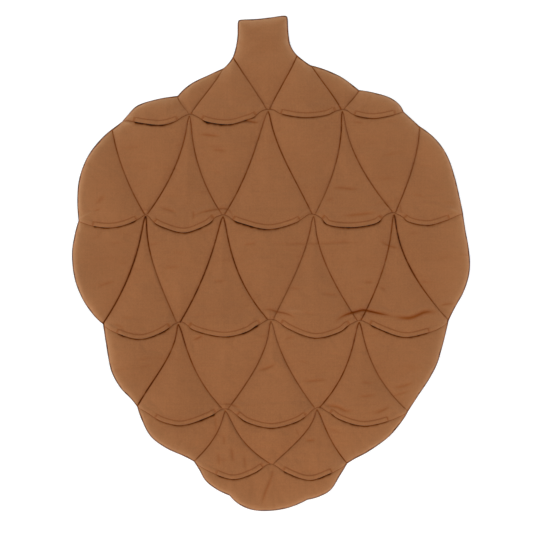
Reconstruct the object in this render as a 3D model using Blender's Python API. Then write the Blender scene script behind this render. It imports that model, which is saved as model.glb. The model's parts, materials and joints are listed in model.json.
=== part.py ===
"""Pine cone floor mat: a flat quilted cotton mat with a stem and six overlapping tiers.

Metres, +Z up.  The underside lies at Z = 0 and the stem points along +Y.  The origin is
under the middle of the outline.  Points in the lists below are millimetres.

Every layer of the mat is cut from one plan: the outline, the quilting lines, the
scalloped hems and the edges where a tier is tucked under the one above are drawn once,
filled with triangles, and each layer takes its own triangles and its own heights.
"""

import bpy
import numpy as np
from mathutils import Vector
from mathutils.geometry import delaunay_2d_cdt

MM = 0.001

# Thicknesses and heights, in millimetres
BACK_CLOTH = 1.2        # back panel, flat on the floor
FRONT_CLOTH = 1.0       # one layer of front cloth
HEM_CLOTH = 2.0         # cloth of a scalloped hem, turned under once
LAYER_GAP = 0.3         # room between two layers that touch
SEAM_WADDING = 1.4      # wadding squeezed flat under a quilting line
PUFF = 13.0             # how far the wadding swells above its squeezed height
PUFF_REACH = 27.0       # distance from a quilting line over which it swells
EDGE_REACH = 18.0       # width of the rounded edge of the mat
WADDING_INSET = 8.0     # wadding ends this far inside the edge seam
TUCK = 11.0             # a tier's hidden top edge, above the notches it is tucked under
WADDING_BASE = BACK_CLOTH + LAYER_GAP

# Spacing of the plan's points, in millimetres
CURVE_STEP = 31.0       # along the outline, hems and quilting lines
SEAM_STEP = 8.0         # along the finer quilting lines that heights are measured from
FLANK_OFFSET = 11.0     # rows of points on both sides of a quilting line
FLANK_CLEAR = 8.0       # least distance of such a point from any line
FIELD_STEP = 31.0       # grid in the open fields between them
FIELD_CLEAR = 15.0      # least distance of a grid point from any line
POINTS_APART = 17.0     # least distance between two of these points
SAME_POINT = 0.05       # points closer than this are one
INSIDE_THE_EDGES = 1    # output choice of the filling: triangles inside the outline

# Corners of the plan.  A0 to E2 are the notches between the scallops of the hems A to E,
# from left to right; the first and last of each row lie on the outline.
CORNERS = {
    "A0": (-360, 343), "A1": (-197, 364), "A2": (-7, 372), "A3": (173, 372), "A4": (321, 367),
    "B0": (-466, 103), "B1": (-303, 119), "B2": (-116, 122), "B3": (103, 119), "B4": (297, 121),
    "B5": (465, 115),
    "C0": (-407, -148), "C1": (-224, -142), "C2": (0, -139), "C3": (213, -137), "C4": (430, -140),
    "D0": (-324, -348), "D1": (-110, -352), "D2": (111, -348), "D3": (332, -359),
    "E0": (-187, -480), "E1": (2, -484), "E2": (185, -485),
    "neck_left": (-93, 499), "neck_right": (64, 503),
    "collar_left": (-115, 472), "collar_right": (96, 479),
    "shoulder_left": (-226, 405), "shoulder_right": (213, 419),
    "side_left": (-384, 325), "side_right": (367, 329),
    "tip_left": (-100, -563), "tip_right": (88, -573),
}

# The outline, counter-clockwise: each run leaves its corner, passes the points of its
# lobe and ends at the corner of the next run.
OUTLINE = [
    ("neck_right", [(49, 525), (44, 549), (42, 578), (41, 592), (39, 597), (33, 599), (1, 595),
                    (-34, 591), (-73, 589), (-79, 587), (-81, 581), (-82, 549), (-86, 522)]),
    ("neck_left", [(-103, 484)]),
    ("collar_left", [(-150, 456), (-196, 433)]),
    ("shoulder_left", [(-288, 394), (-326, 380), (-350, 355)]),
    ("A0", []),
    ("side_left", [(-415, 297), (-444, 258), (-464, 206), (-469, 160)]),
    ("B0", [(-476, 66), (-482, 22), (-475, -40), (-455, -90), (-430, -126)]),
    ("C0", [(-401, -187), (-395, -225), (-386, -264), (-364, -303), (-338, -330)]),
    ("D0", [(-313, -380), (-292, -419), (-254, -448), (-212, -467)]),
    ("E0", [(-175, -499), (-160, -525), (-138, -544)]),
    ("tip_left", [(-79, -583), (-51, -596), (-15, -600), (36, -594)]),
    ("tip_right", [(120, -564), (145, -549), (167, -515)]),
    ("E2", [(201, -475), (235, -457), (287, -419), (318, -382)]),
    ("D3", [(356, -322), (382, -283), (402, -245), (414, -206), (424, -167)]),
    ("C4", [(445, -109), (466, -71), (479, -32), (482, 3), (478, 42), (471, 80)]),
    ("B5", [(458, 155), (446, 206), (428, 258), (402, 297)]),
    ("side_right", []),
    ("A4", [(311, 384), (290, 400), (249, 413)]),
    ("shoulder_right", [(197, 432), (170, 451), (133, 468)]),
    ("collar_right", [(80, 490)]),
]

# The hem of each tier, from left to right: the points of each scallop between two notches
HEMS = {
    "A": [[(-311, 336), (-262, 333), (-229, 344)],
          [(-159, 342), (-102, 334), (-44, 351)],
          [(29, 360), (83, 352), (137, 360)],
          [(202, 357), (246, 349), (290, 357)]],
    "B": [[(-429, 88), (-384, 87), (-340, 101)],
          [(-266, 90), (-209, 74), (-153, 94)],
          [(-72, 95), (-6, 82), (59, 98)],
          [(142, 91), (200, 86), (258, 98)],
          [(329, 103), (378, 91), (426, 105)]],
    "C": [[(-368, -172), (-314, -184), (-260, -165)],
          [(-179, -165), (-112, -179), (-45, -162)],
          [(43, -158), (107, -182), (171, -164)],
          [(256, -158), (321, -179), (386, -167)]],
    "D": [[(-280, -373), (-216, -393), (-152, -374)],
          [(-66, -381), (1, -399), (67, -382)],
          [(155, -371), (221, -394), (287, -380)]],
    "E": [[(-145, -506), (-90, -524), (-35, -504)],
          [(38, -506), (93, -522), (147, -507)]],
}

# Quilting lines through all layers: start, end, and how far the middle hangs back
# towards the start, measured across
QUILTING = [
    ("neck_left", "A2", 6), ("neck_right", "A2", 0),
    ("collar_left", "A1", 5), ("shoulder_left", "A1", 4),
    ("collar_right", "A3", 1), ("shoulder_right", "A3", 2),
    ("side_left", "B1", 14), ("A1", "B1", 21), ("A1", "B2", 23), ("A2", "B2", 13),
    ("A2", "B3", 13), ("A3", "B3", 19), ("A3", "B4", 26), ("side_right", "B4", 10),
    ("B1", "C0", 15), ("B1", "C1", 19), ("B2", "C1", 15), ("B2", "C2", 27),
    ("B3", "C2", 13), ("B3", "C3", 24), ("B4", "C3", 18), ("B4", "C4", 28),
    ("C1", "D0", 12), ("C1", "D1", 22), ("C2", "D1", 22), ("C2", "D2", 19),
    ("C3", "D2", 23), ("C3", "D3", 24),
    ("D1", "E0", 11), ("D1", "E1", 23), ("D2", "E1", 21), ("D2", "E2", 9),
]

# Colours of the cloth and the wadding, as linear RGB, and their roughness
BROWN_COTTON = (0.292, 0.119, 0.050, 1.0)
COTTON_ROUGHNESS = 0.9
WHITE_WADDING = (0.80, 0.78, 0.72, 1.0)
WADDING_ROUGHNESS = 0.95


def parabola(points, knots, at):
    """The parabola through three points, read at the given parameters."""
    a, b, c = knots
    at = at[:, None]
    return (points[0] * (at - b) * (at - c) / ((a - b) * (a - c))
            + points[1] * (at - a) * (at - c) / ((b - a) * (b - c))
            + points[2] * (at - a) * (at - b) / ((c - a) * (c - b)))


def smooth_run(points, step):
    """Points about one step apart on the smooth curve through the given points.

    Between two points the curve blends the parabolas through their neighbours.
    """
    points = np.array(points, float)
    lengths = np.hypot(*np.diff(points, axis=0).T)
    pieces = np.maximum(1, np.round(lengths / step)).astype(int)
    if len(points) == 2:
        share = np.arange(pieces[0] + 1)[:, None] / pieces[0]
        return points[0] + (points[1] - points[0]) * share
    knots = np.concatenate([[0.0], np.cumsum(np.sqrt(lengths))])
    run = [points[:1]]
    for i, count in enumerate(pieces):
        share = np.arange(1, count + 1) / count
        at = knots[i] + (knots[i + 1] - knots[i]) * share
        before = max(i - 1, 0)
        after = min(i, len(points) - 3)
        first = parabola(points[before:before + 3], knots[before:before + 3], at)
        second = parabola(points[after:after + 3], knots[after:after + 3], at)
        run.append(first * (1 - share[:, None]) + second * share[:, None])
    return np.concatenate(run)


def outline_loop():
    """The closed outline of the mat, counter-clockwise, without a repeated last point."""
    runs = []
    for i, (corner, lobe) in enumerate(OUTLINE):
        following = OUTLINE[(i + 1) % len(OUTLINE)][0]
        run = smooth_run([CORNERS[corner], *lobe, CORNERS[following]], CURVE_STEP)
        runs.append(run[:-1])
    return np.concatenate(runs)


def inset_loop(loop, inset):
    """The loop moved inwards, leaving out points that would crowd a sharp corner."""
    along = np.roll(loop, -1, axis=0) - np.roll(loop, 1, axis=0)
    inward = np.stack([-along[:, 1], along[:, 0]], axis=1) / np.hypot(*along.T)[:, None]
    moved = loop + inward * inset
    kept = [moved[0]]
    for point in moved[1:]:
        if np.hypot(*(point - kept[-1])) > inset and np.hypot(*(point - moved[0])) > inset:
            kept.append(point)
    return np.array(kept)


def hem_line(row):
    """The hem of one row from edge to edge, through its notches."""
    scallops = []
    for i, scallop in enumerate(HEMS[row]):
        ends = CORNERS[f"{row}{i}"], CORNERS[f"{row}{i + 1}"]
        scallops.append(smooth_run([ends[0], *scallop, ends[1]], CURVE_STEP)[:-1])
    return np.concatenate([*scallops, [CORNERS[f"{row}{len(HEMS[row])}"]]])


def tuck_line(row, outline):
    """The hidden top edge of the tier below a row: straight between points over its notches."""
    points = np.array([CORNERS[f"{row}{i}"] for i in range(len(HEMS[row]) + 1)], float)
    for end in (0, -1):
        above = outline[outline[:, 1] > points[end, 1] + SAME_POINT]
        away = above - points[end] - (0, TUCK)
        points[end] = above[np.argmin(np.hypot(*away.T))]
    points[1:-1, 1] += TUCK
    spans = [smooth_run(pair, CURVE_STEP)[:-1] for pair in zip(points[:-1], points[1:])]
    return np.concatenate([*spans, points[-1:]])


def quilting_line(start, end, bow, step):
    """One quilting line: it hangs back towards its start and sweeps out to its end."""
    start = np.array(CORNERS[start], float)
    end = np.array(CORNERS[end], float)
    count = max(2, round(np.hypot(*(end - start)) / step))
    share = np.arange(count + 1) / count
    line = start + (end - start) * share[:, None]
    line[:, 0] -= np.sign(end[0] - start[0]) * bow * 4 * share * (1 - share)
    return line


def distance(points, lines):
    """Distance of each point from the nearest of the given lines."""
    nearest = np.full(len(points), np.inf)
    for line in lines:
        for a, b in zip(line[:-1], line[1:]):
            side = b - a
            share = np.clip((points - a) @ side / (side @ side), 0, 1)
            nearest = np.minimum(nearest, np.hypot(*(points - a - share[:, None] * side).T))
    return nearest


def height_of(line, x):
    """Height up the plan of a line that runs from left to right, at the given x."""
    return np.interp(x, line[:, 0], line[:, 1])


def inside(loop, points):
    """Which points lie inside a closed loop."""
    result = np.zeros(len(points), bool)
    for a, b in zip(loop, np.roll(loop, -1, axis=0)):
        spans = (a[1] > points[:, 1]) != (b[1] > points[:, 1])
        rise = (points[:, 1] - a[1]) / (b[1] - a[1] if b[1] != a[1] else 1.0)
        result ^= spans & (points[:, 0] < a[0] + (b[0] - a[0]) * rise)
    return result


def flank_points(line):
    """Points on both sides of a quilting line, which keep its groove narrow."""
    middle = (line[:-1] + line[1:]) / 2
    side = line[1:] - line[:-1]
    across = np.stack([-side[:, 1], side[:, 0]], axis=1) / np.hypot(*side.T)[:, None]
    return np.concatenate([middle + across * FLANK_OFFSET, middle - across * FLANK_OFFSET])


def field_points(loop):
    """A staggered grid over the whole outline."""
    low, high = loop.min(axis=0), loop.max(axis=0)
    row_step = FIELD_STEP * np.sqrt(3) / 2
    grid = []
    for row, y in enumerate(np.arange(low[1], high[1], row_step)):
        shift = FIELD_STEP / 2 * (row % 2)
        grid.extend((x + shift, y) for x in np.arange(low[0], high[0], FIELD_STEP))
    return np.array(grid)


class Plan:
    """The mat seen from above: triangles that follow every line of it."""

    def __init__(self):
        self.outline = outline_loop()
        self.inner = inset_loop(self.outline, WADDING_INSET)
        self.hems = [hem_line(row) for row in HEMS]
        self.tucks = [tuck_line(row, self.outline) for row in HEMS]
        self.quilting = [quilting_line(*line, CURVE_STEP) for line in QUILTING]
        self.fill()
        self.measure()

    def fill(self):
        """Fill the outline with triangles that keep to all the lines."""
        outline = np.concatenate([self.outline, self.outline[:1]])
        inner = np.concatenate([self.inner, self.inner[:1]])
        lines = [outline, inner, *self.hems, *self.tucks, *self.quilting]
        flanks = np.concatenate([flank_points(line) for line in self.quilting])
        flanks = flanks[distance(flanks, lines) > FLANK_CLEAR]
        fields = field_points(self.outline)
        fields = fields[distance(fields, lines) > FIELD_CLEAR]
        loose = np.concatenate([flanks, fields])
        kept = []
        for point in loose[inside(self.inner, loose)]:
            if all(np.hypot(*(point - other)) > POINTS_APART for other in kept):
                kept.append(point)
        points = []
        edges = []
        for line in lines:
            edges.extend((len(points) + i, len(points) + i + 1) for i in range(len(line) - 1))
            points.extend(line)
        points.extend(kept)
        vectors = [Vector(point) for point in points]
        filled = delaunay_2d_cdt(vectors, edges, [], INSIDE_THE_EDGES, SAME_POINT)
        self.points = np.array([tuple(vert) for vert in filled[0]])
        self.triangles = np.array([tuple(face) for face in filled[2]])
        self.middles = self.points[self.triangles].mean(axis=1)

    def measure(self):
        """Height of the wadding's upper face at every point."""
        fine = [quilting_line(*line, SEAM_STEP) for line in QUILTING]
        outline = np.concatenate([self.outline, self.outline[:1]])
        from_seam = distance(self.points, fine)
        from_edge = distance(self.points, [outline])
        swell = PUFF * (1 - np.exp(-from_seam / PUFF_REACH))
        into_edge = 1 - np.minimum(from_edge / EDGE_REACH, 1)
        rounding = np.sqrt(1 - into_edge ** 2)
        self.wadding_top = WADDING_BASE + (SEAM_WADDING + swell) * rounding

    def tier(self, number):
        """Which triangles one tier's cloth covers, from its tucked edge down to its hem."""
        x, y = self.middles.T
        chosen = np.ones(len(self.triangles), bool)
        if number > 1:
            chosen &= y < height_of(self.tucks[number - 2], x)
        if number <= len(self.hems):
            chosen &= y > height_of(self.hems[number - 1], x)
        return chosen

    def tier_faces(self, number):
        """Lower and upper face of one tier's cloth: doubled where it lies on the next tier."""
        lower = self.wadding_top + LAYER_GAP
        upper = lower + FRONT_CLOTH
        if number > len(self.hems):
            return lower, upper
        covers = self.tier(number) & self.tier(number + 1)
        doubled = np.unique(self.triangles[covers])
        lower[doubled] = upper[doubled] + LAYER_GAP
        upper[doubled] = lower[doubled] + HEM_CLOTH
        return lower, upper


    def patch(self, chosen):
        """The points and triangles of one patch of the plan, the triangles renumbered."""
        used = np.unique(self.triangles[chosen])
        place = np.zeros(len(self.points), int)
        place[used] = np.arange(len(used))
        return used, place[self.triangles[chosen]]


def edge_of(triangles):
    """The edge round a patch of triangles: the point that follows each point on it."""
    edges = {(a, b) for face in triangles.tolist() for a, b in zip(face, face[1:] + face[:1])}
    return {a: b for a, b in sorted(edges) if (b, a) not in edges}


def at_height(flat, height):
    """Points of the plan lifted to a height, which is one number or one for each point."""
    return np.column_stack([flat, np.broadcast_to(height, len(flat))])


def add_piece(name, points, polygons, material):
    """A mesh object from points in millimetres."""
    mesh = bpy.data.meshes.new(name)
    mesh.from_pydata((points * MM).tolist(), [], polygons)
    mesh.materials.append(material)
    mesh.update()
    item = bpy.data.objects.new(name, mesh)
    bpy.context.collection.objects.link(item)


def add_tier(plan, number, middle, material):
    """One tier of front cloth: a closed skin that follows the wadding."""
    used, faces = plan.patch(plan.tier(number))
    lower, upper = plan.tier_faces(number)
    flat = plan.points[used] - middle
    points = np.concatenate([at_height(flat, lower[used]), at_height(flat, upper[used])])
    count = len(used)
    polygons = [tuple(face + count) for face in faces]
    polygons += [tuple(face[::-1]) for face in faces]
    polygons += [(a, b, b + count, a + count) for a, b in edge_of(faces).items()]
    add_piece(f"tier_{number}", points, polygons, material)


def add_wadding(plan, middle, material):
    """The wadding: flat underneath, swelling between the quilting lines."""
    used, faces = plan.patch(inside(plan.inner, plan.middles))
    following = edge_of(faces)
    loop = [next(iter(following))]
    while following[loop[-1]] != loop[0]:
        loop.append(following[loop[-1]])
    flat = plan.points[used] - middle
    points = np.concatenate([at_height(flat, plan.wadding_top[used]),
                             at_height(flat[loop], WADDING_BASE)])
    low = {point: len(used) + i for i, point in enumerate(loop)}
    polygons = [tuple(face) for face in faces]
    polygons += [(low[a], low[b], b, a) for a, b in following.items()]
    polygons.append(tuple(low[point] for point in reversed(loop)))
    add_piece("wadding", points, polygons, material)


def add_back(plan, middle, material):
    """The back panel: one flat cloth cut to the outline."""
    flat = plan.outline - middle
    points = np.concatenate([at_height(flat, 0.0), at_height(flat, BACK_CLOTH)])
    count = len(flat)
    polygons = [tuple(range(count, 2 * count)), tuple(reversed(range(count)))]
    for a in range(count):
        b = (a + 1) % count
        polygons.append((a, b, b + count, a + count))
    add_piece("back_panel", points, polygons, material)


def cloth_material(name, colour, roughness):
    """A plain finish for one kind of cloth."""
    material = bpy.data.materials.new(name)
    material.use_nodes = True
    shader = material.node_tree.nodes["Principled BSDF"]
    shader.inputs["Base Color"].default_value = colour
    shader.inputs["Roughness"].default_value = roughness
    shader.inputs["Metallic"].default_value = 0.0
    return material


def main():
    """Clear the scene and build the back panel, the wadding and the six tiers."""
    for item in list(bpy.data.objects):
        bpy.data.objects.remove(item, do_unlink=True)
    plan = Plan()
    middle = (plan.outline.min(axis=0) + plan.outline.max(axis=0)) / 2
    cotton = cloth_material("brown_cotton", BROWN_COTTON, COTTON_ROUGHNESS)
    filling = cloth_material("white_wadding", WHITE_WADDING, WADDING_ROUGHNESS)
    add_back(plan, middle, cotton)
    add_wadding(plan, middle, filling)
    for number in range(1, len(HEMS) + 2):
        add_tier(plan, number, middle, cotton)


main()
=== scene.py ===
"""Pine cone floor mat: the looks of a flat quilted cotton mat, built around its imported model.

The mat lies flat with its stem towards +Y.  Its front is six tiers of brown cotton, each
with a scalloped hem that laps over the next tier; its back is one panel; wadding fills it;
quilting lines are sewn through all layers from notch to notch.

The model is in metres.  The plan, the heights and the sizes of the classes are millimetres
on the mat's own plan, and are turned into metres where a mesh is made.
"""

import json
import logging
import math
from collections.abc import Callable
from dataclasses import dataclass, field, fields
from enum import Enum

import bpy
import numpy as np
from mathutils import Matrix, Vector
from mathutils.bvhtree import BVHTree
from mathutils.geometry import delaunay_2d_cdt
from mathutils.kdtree import KDTree

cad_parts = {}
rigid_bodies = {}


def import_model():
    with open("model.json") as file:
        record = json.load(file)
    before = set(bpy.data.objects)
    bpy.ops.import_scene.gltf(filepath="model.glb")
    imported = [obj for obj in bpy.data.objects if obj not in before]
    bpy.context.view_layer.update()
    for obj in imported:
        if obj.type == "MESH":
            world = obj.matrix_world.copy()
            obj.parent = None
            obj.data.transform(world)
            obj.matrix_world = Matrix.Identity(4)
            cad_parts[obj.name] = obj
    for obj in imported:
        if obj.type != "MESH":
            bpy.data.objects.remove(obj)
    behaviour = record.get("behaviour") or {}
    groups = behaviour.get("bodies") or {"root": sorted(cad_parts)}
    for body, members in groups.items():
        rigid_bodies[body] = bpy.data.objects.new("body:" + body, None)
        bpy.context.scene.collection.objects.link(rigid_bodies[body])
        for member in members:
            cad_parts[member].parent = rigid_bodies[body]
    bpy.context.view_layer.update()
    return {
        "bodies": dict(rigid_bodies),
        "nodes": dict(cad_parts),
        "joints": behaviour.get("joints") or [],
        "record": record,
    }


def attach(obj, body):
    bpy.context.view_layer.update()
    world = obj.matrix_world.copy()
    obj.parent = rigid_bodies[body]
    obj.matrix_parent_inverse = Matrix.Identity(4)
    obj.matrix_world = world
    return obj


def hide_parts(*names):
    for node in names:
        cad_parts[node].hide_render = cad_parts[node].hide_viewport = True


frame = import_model()

Array = np.ndarray
MM = 0.001
SAME_POINT = 0.01
INSIDE_THE_EDGES = 1
SEAM_ALLOWANCE = 10.0
SEAM_CLEAR = 4.0  # creases and puckers fade out this close to a quilting line
EDGE_CLEAR = 1.0  # quilting lines end this far from a cloth's edge
WAVE_TEXTURE_BANDS = 3.2  # to a metre, at scale 1
WHITE = (1.0, 1.0, 1.0, 1.0)
WARM = (1.0, 0.90, 0.78)
COOL = (0.92, 0.97, 1.0)
Numbers = tuple[float, ...]
Pair = tuple[float, float]
Triple = tuple[float, float, float]
Socket = bpy.types.NodeSocket
Colour = tuple[float, float, float, float]
log = logging.getLogger("mat")

# Corners of the plan.  A0 to E2 are the notches between the scallops of the hems A to E,
# from left to right; the first and last of each row lie on the outline.
CORNERS: dict[str, Pair] = {
    "A0": (-360, 343), "A1": (-197, 361), "A2": (-7, 372), "A3": (173, 372), "A4": (321, 367),
    "B0": (-466, 103), "B1": (-303, 119), "B2": (-116, 118), "B3": (103, 119), "B4": (297, 123),
    "B5": (465, 121),
    "C0": (-407, -148), "C1": (-224, -142), "C2": (0, -135), "C3": (213, -137), "C4": (430, -140),
    "D0": (-324, -348), "D1": (-110, -351), "D2": (111, -348), "D3": (332, -359),
    "E0": (-187, -480), "E1": (2, -484), "E2": (185, -485),
    "neck_left": (-93, 499), "neck_right": (64, 503),
    "collar_left": (-115, 472), "collar_right": (96, 479),
    "shoulder_left": (-226, 405), "shoulder_right": (213, 419),
    "side_left": (-384, 325), "side_right": (359, 332),
    "tip_left": (-100, -563), "tip_right": (88, -573),
}

# The outline, counter-clockwise: each run leaves its corner, passes the points of its
# lobe and ends at the corner of the next run.
OUTLINE: list[tuple[str, list[Pair]]] = [
    ("neck_right", [(49, 525), (44, 549), (42, 578), (41, 592), (39, 597), (33, 599), (1, 595),
                    (-34, 591), (-73, 589), (-79, 587), (-81, 581), (-82, 549), (-86, 522)]),
    ("neck_left", [(-103, 484)]),
    ("collar_left", [(-150, 456), (-196, 433)]),
    ("shoulder_left", [(-288, 394), (-326, 380), (-350, 355)]),
    ("A0", []),
    ("side_left", [(-415, 297), (-444, 258), (-464, 206), (-469, 160)]),
    ("B0", [(-476, 66), (-482, 22), (-475, -40), (-455, -90), (-430, -126)]),
    ("C0", [(-401, -187), (-395, -225), (-386, -264), (-364, -303), (-338, -330)]),
    ("D0", [(-313, -380), (-292, -419), (-254, -448), (-212, -467)]),
    ("E0", [(-175, -499), (-160, -525), (-138, -544)]),
    ("tip_left", [(-79, -583), (-51, -596), (-15, -600), (36, -594)]),
    ("tip_right", [(120, -564), (145, -549), (167, -515)]),
    ("E2", [(201, -475), (235, -457), (287, -419), (318, -382)]),
    ("D3", [(356, -322), (382, -283), (402, -245), (414, -206), (424, -167)]),
    ("C4", [(445, -109), (466, -71), (479, -32), (482, 3), (478, 42), (471, 80)]),
    ("B5", [(458, 155), (446, 206), (428, 258), (402, 297)]),
    ("side_right", []),
    ("A4", [(311, 384), (290, 400), (249, 413)]),
    ("shoulder_right", [(197, 432), (170, 451), (133, 468)]),
    ("collar_right", [(80, 490)]),
]

# The hem of each tier, from left to right: the points of each scallop between two notches
HEMS: dict[str, list[list[Pair]]] = {
    "A": [[(-344, 344), (-311, 338), (-262, 334), (-228, 344), (-213, 354)],
          [(-188, 359), (-172, 351), (-159, 343), (-102, 335), (-59, 346), (-43, 352),
           (-27, 365), (-15, 371)],
          [(6, 371), (16, 365), (29, 360), (83, 352), (138, 359), (152, 366), (163, 370)],
          [(184, 369), (194, 362), (204, 357), (246, 350), (291, 357)]],
    "B": [[(-429, 90), (-384, 86), (-340, 97)],
          [(-296, 114), (-278, 96), (-262, 88), (-209, 74), (-157, 92), (-145, 100),
           (-136, 110), (-126, 115)],
          [(-104, 114), (-88, 103), (-72, 97), (-6, 82), (59, 98), (71, 105), (81, 112),
           (92, 119)],
          [(113, 115), (124, 107), (133, 96), (150, 90), (200, 87), (254, 97), (265, 105),
           (273, 114), (283, 120)],
          [(307, 118), (318, 112), (329, 102), (378, 92), (426, 105), (447, 114)]],
    "C": [[(-368, -170), (-314, -183), (-259, -164), (-236, -148)],
          [(-215, -141), (-200, -150), (-190, -159), (-112, -177), (-56, -164), (-36, -151),
           (-22, -144), (-11, -137)],
          [(11, -137), (22, -144), (43, -158), (107, -180), (170, -163), (183, -152),
           (197, -144)],
          [(225, -140), (237, -146), (256, -156), (321, -178), (376, -168), (400, -160)]],
    "D": [[(-299, -360), (-278, -374), (-262, -382), (-216, -391), (-152, -371),
           (-138, -364), (-121, -353)],
          [(-100, -353), (-90, -360), (-80, -368), (-58, -383), (1, -397), (60, -383),
           (85, -368), (99, -355)],
          [(120, -348), (133, -356), (146, -363), (161, -374), (221, -392), (284, -380)]],
    "E": [[(-144, -504), (-90, -521), (-39, -505), (-26, -497), (-11, -487)],
          [(12, -489), (38, -505), (93, -523), (140, -508)]],
}

# Where each scallop hangs open: from and to along X, and how far it gapes at its left
# end, in its middle and at its right end, as shares of the widest gap
OPEN_HEMS: dict[str, list[tuple[float, float, float, float, float]]] = {
    "A": [(-331, -225, 1.0, 1.0, 0.3), (-167, -36, 1.0, 0.9, 0.4),
          (24, 155, 0.6, 0.4, 0.2), (201, 300, 0.6, 0.35, 0.2)],
    "B": [(-430, -324, 0.7, 0.5, 0.6), (-282, -138, 0.6, 0.7, 0.5),
          (-92, 70, 1.0, 0.7, 0.4), (123, 268, 0.6, 0.9, 0.8), (321, 430, 0.4, 0.6, 0.2)],
    "C": [(-372, -244, 0.8, 0.5, 0.8), (-198, -27, 0.5, 0.6, 0.9),
          (24, 189, 0.4, 0.45, 0.7), (239, 382, 0.7, 0.6, 0.6)],
    "D": [(-280, -133, 0.4, 0.5, 1.0), (-82, 85, 0.6, 0.6, 0.6), (143, 283, 0.6, 0.7, 0.4)],
    "E": [(-133, -19, 0.8, 0.5, 0.4), (29, 147, 0.8, 0.3, 1.0)],
}

# Quilting lines through all layers: start, end, how far the middle hangs back towards the
# start, measured across, and how much more the first half does than the last, then how
# tightly the line is sewn near its start, in its middle and near its end (1 is usual)
QUILTING: list[tuple[str, str, Pair, Triple]] = [
    ("neck_left", "A2", (-0.5, 0.5), (1.3, 0.8, 0.55)),
    ("neck_right", "A2", (0.5, 1), (1.3, 1, 1)),
    ("collar_left", "A1", (2, 1.5), (0.55, 0.8, 0.65)),
    ("shoulder_left", "A1", (3.5, 1), (0.85, 0.25, 0.25)),
    ("collar_right", "A3", (-1.5, 1), (1.1, 0.9, 1.3)),
    ("shoulder_right", "A3", (2, 1), (1.1, 0.6, 0.65)),
    ("side_left", "B1", (11, 0), (1.2, 0.6, 1.1)),
    ("A1", "B1", (19, 0), (0.95, 1.3, 1.1)),
    ("A1", "B2", (19, -0.5), (0.85, 0.95, 0.8)),
    ("A2", "B2", (10.5, -1.5), (0.75, 1.2, 1.1)),
    ("A2", "B3", (11, 3), (1.5, 1.2, 1)),
    ("A3", "B3", (18.5, 0.5), (1.5, 0.85, 0.55)),
    ("A3", "B4", (23.5, 1), (0.8, 0.95, 0.9)),
    ("side_right", "B4", (11, 1), (0.85, 0.8, 1)),
    ("B1", "C0", (18, -0.5), (2, 2.6, 2)),
    ("B1", "C1", (16, 2.5), (2.1, 0.6, 0.8)),
    ("B2", "C1", (12, -0.5), (1.5, 2.1, 2)),
    ("B2", "C2", (22.5, -2), (1.6, 1.8, 1.3)),
    ("B3", "C2", (12, 2), (0.9, 0.6, 0.6)),
    ("B3", "C3", (20, 2), (0.85, 1, 0.85)),
    ("B4", "C3", (16, 0.5), (1.2, 1, 1.4)),
    ("B4", "C4", (28.5, 1), (2.2, 2.4, 0.55)),
    ("C1", "D0", (14.5, 4.5), (1.4, 1.6, 2.2)),
    ("C1", "D1", (17.5, -2), (1.8, 0.9, 0.8)),
    ("C2", "D1", (19.5, 2), (0.9, 0.8, 0.9)),
    ("C2", "D2", (15, 0.5), (0.65, 0.8, 0.7)),
    ("C3", "D2", (19, -2), (1.2, 1.2, 1.3)),
    ("C3", "D3", (25, -2), (1.2, 0.6, 0.55)),
    ("D1", "E0", (14.5, 0), (0.95, 0.8, 0.85)),
    ("D1", "E1", (18.5, -2.5), (0.85, 0.8, 0.85)),
    ("D2", "E1", (16.5, 3), (0.95, 0.9, 0.5)),
    ("D2", "E2", (8.5, -1), (1.1, 0.8, 1.2)),
]

# How far to the left and right of a notch the two quilting lines above it end
NOTCH_SPREAD: dict[str, Pair] = {
    "A1": (2, 4), "A2": (4, 4), "A3": (4, 4), "B1": (3, 5), "B2": (3, 4), "B3": (4, 4),
    "B4": (3, 4), "C1": (5, 5), "C2": (9, 6), "C3": (6, 5), "D1": (8, 7), "D2": (7, 7),
    "E1": (5, 5),
}


class Fold(Enum):
    """How a crease stands out of the cloth."""

    RIDGE = "ridge"
    VALLEY = "valley"
    FOLD = "fold"  # a valley with a ridge along its left


RIDGE, VALLEY, FOLD = Fold

# The ridge beside a crease: its height against the crease's depth, then its place and its
# width against the crease's width
BESIDE: dict[Fold, Triple] = {VALLEY: (0.3, 0.0, 2.6), FOLD: (0.75, 2.1, 1.5)}

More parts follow.
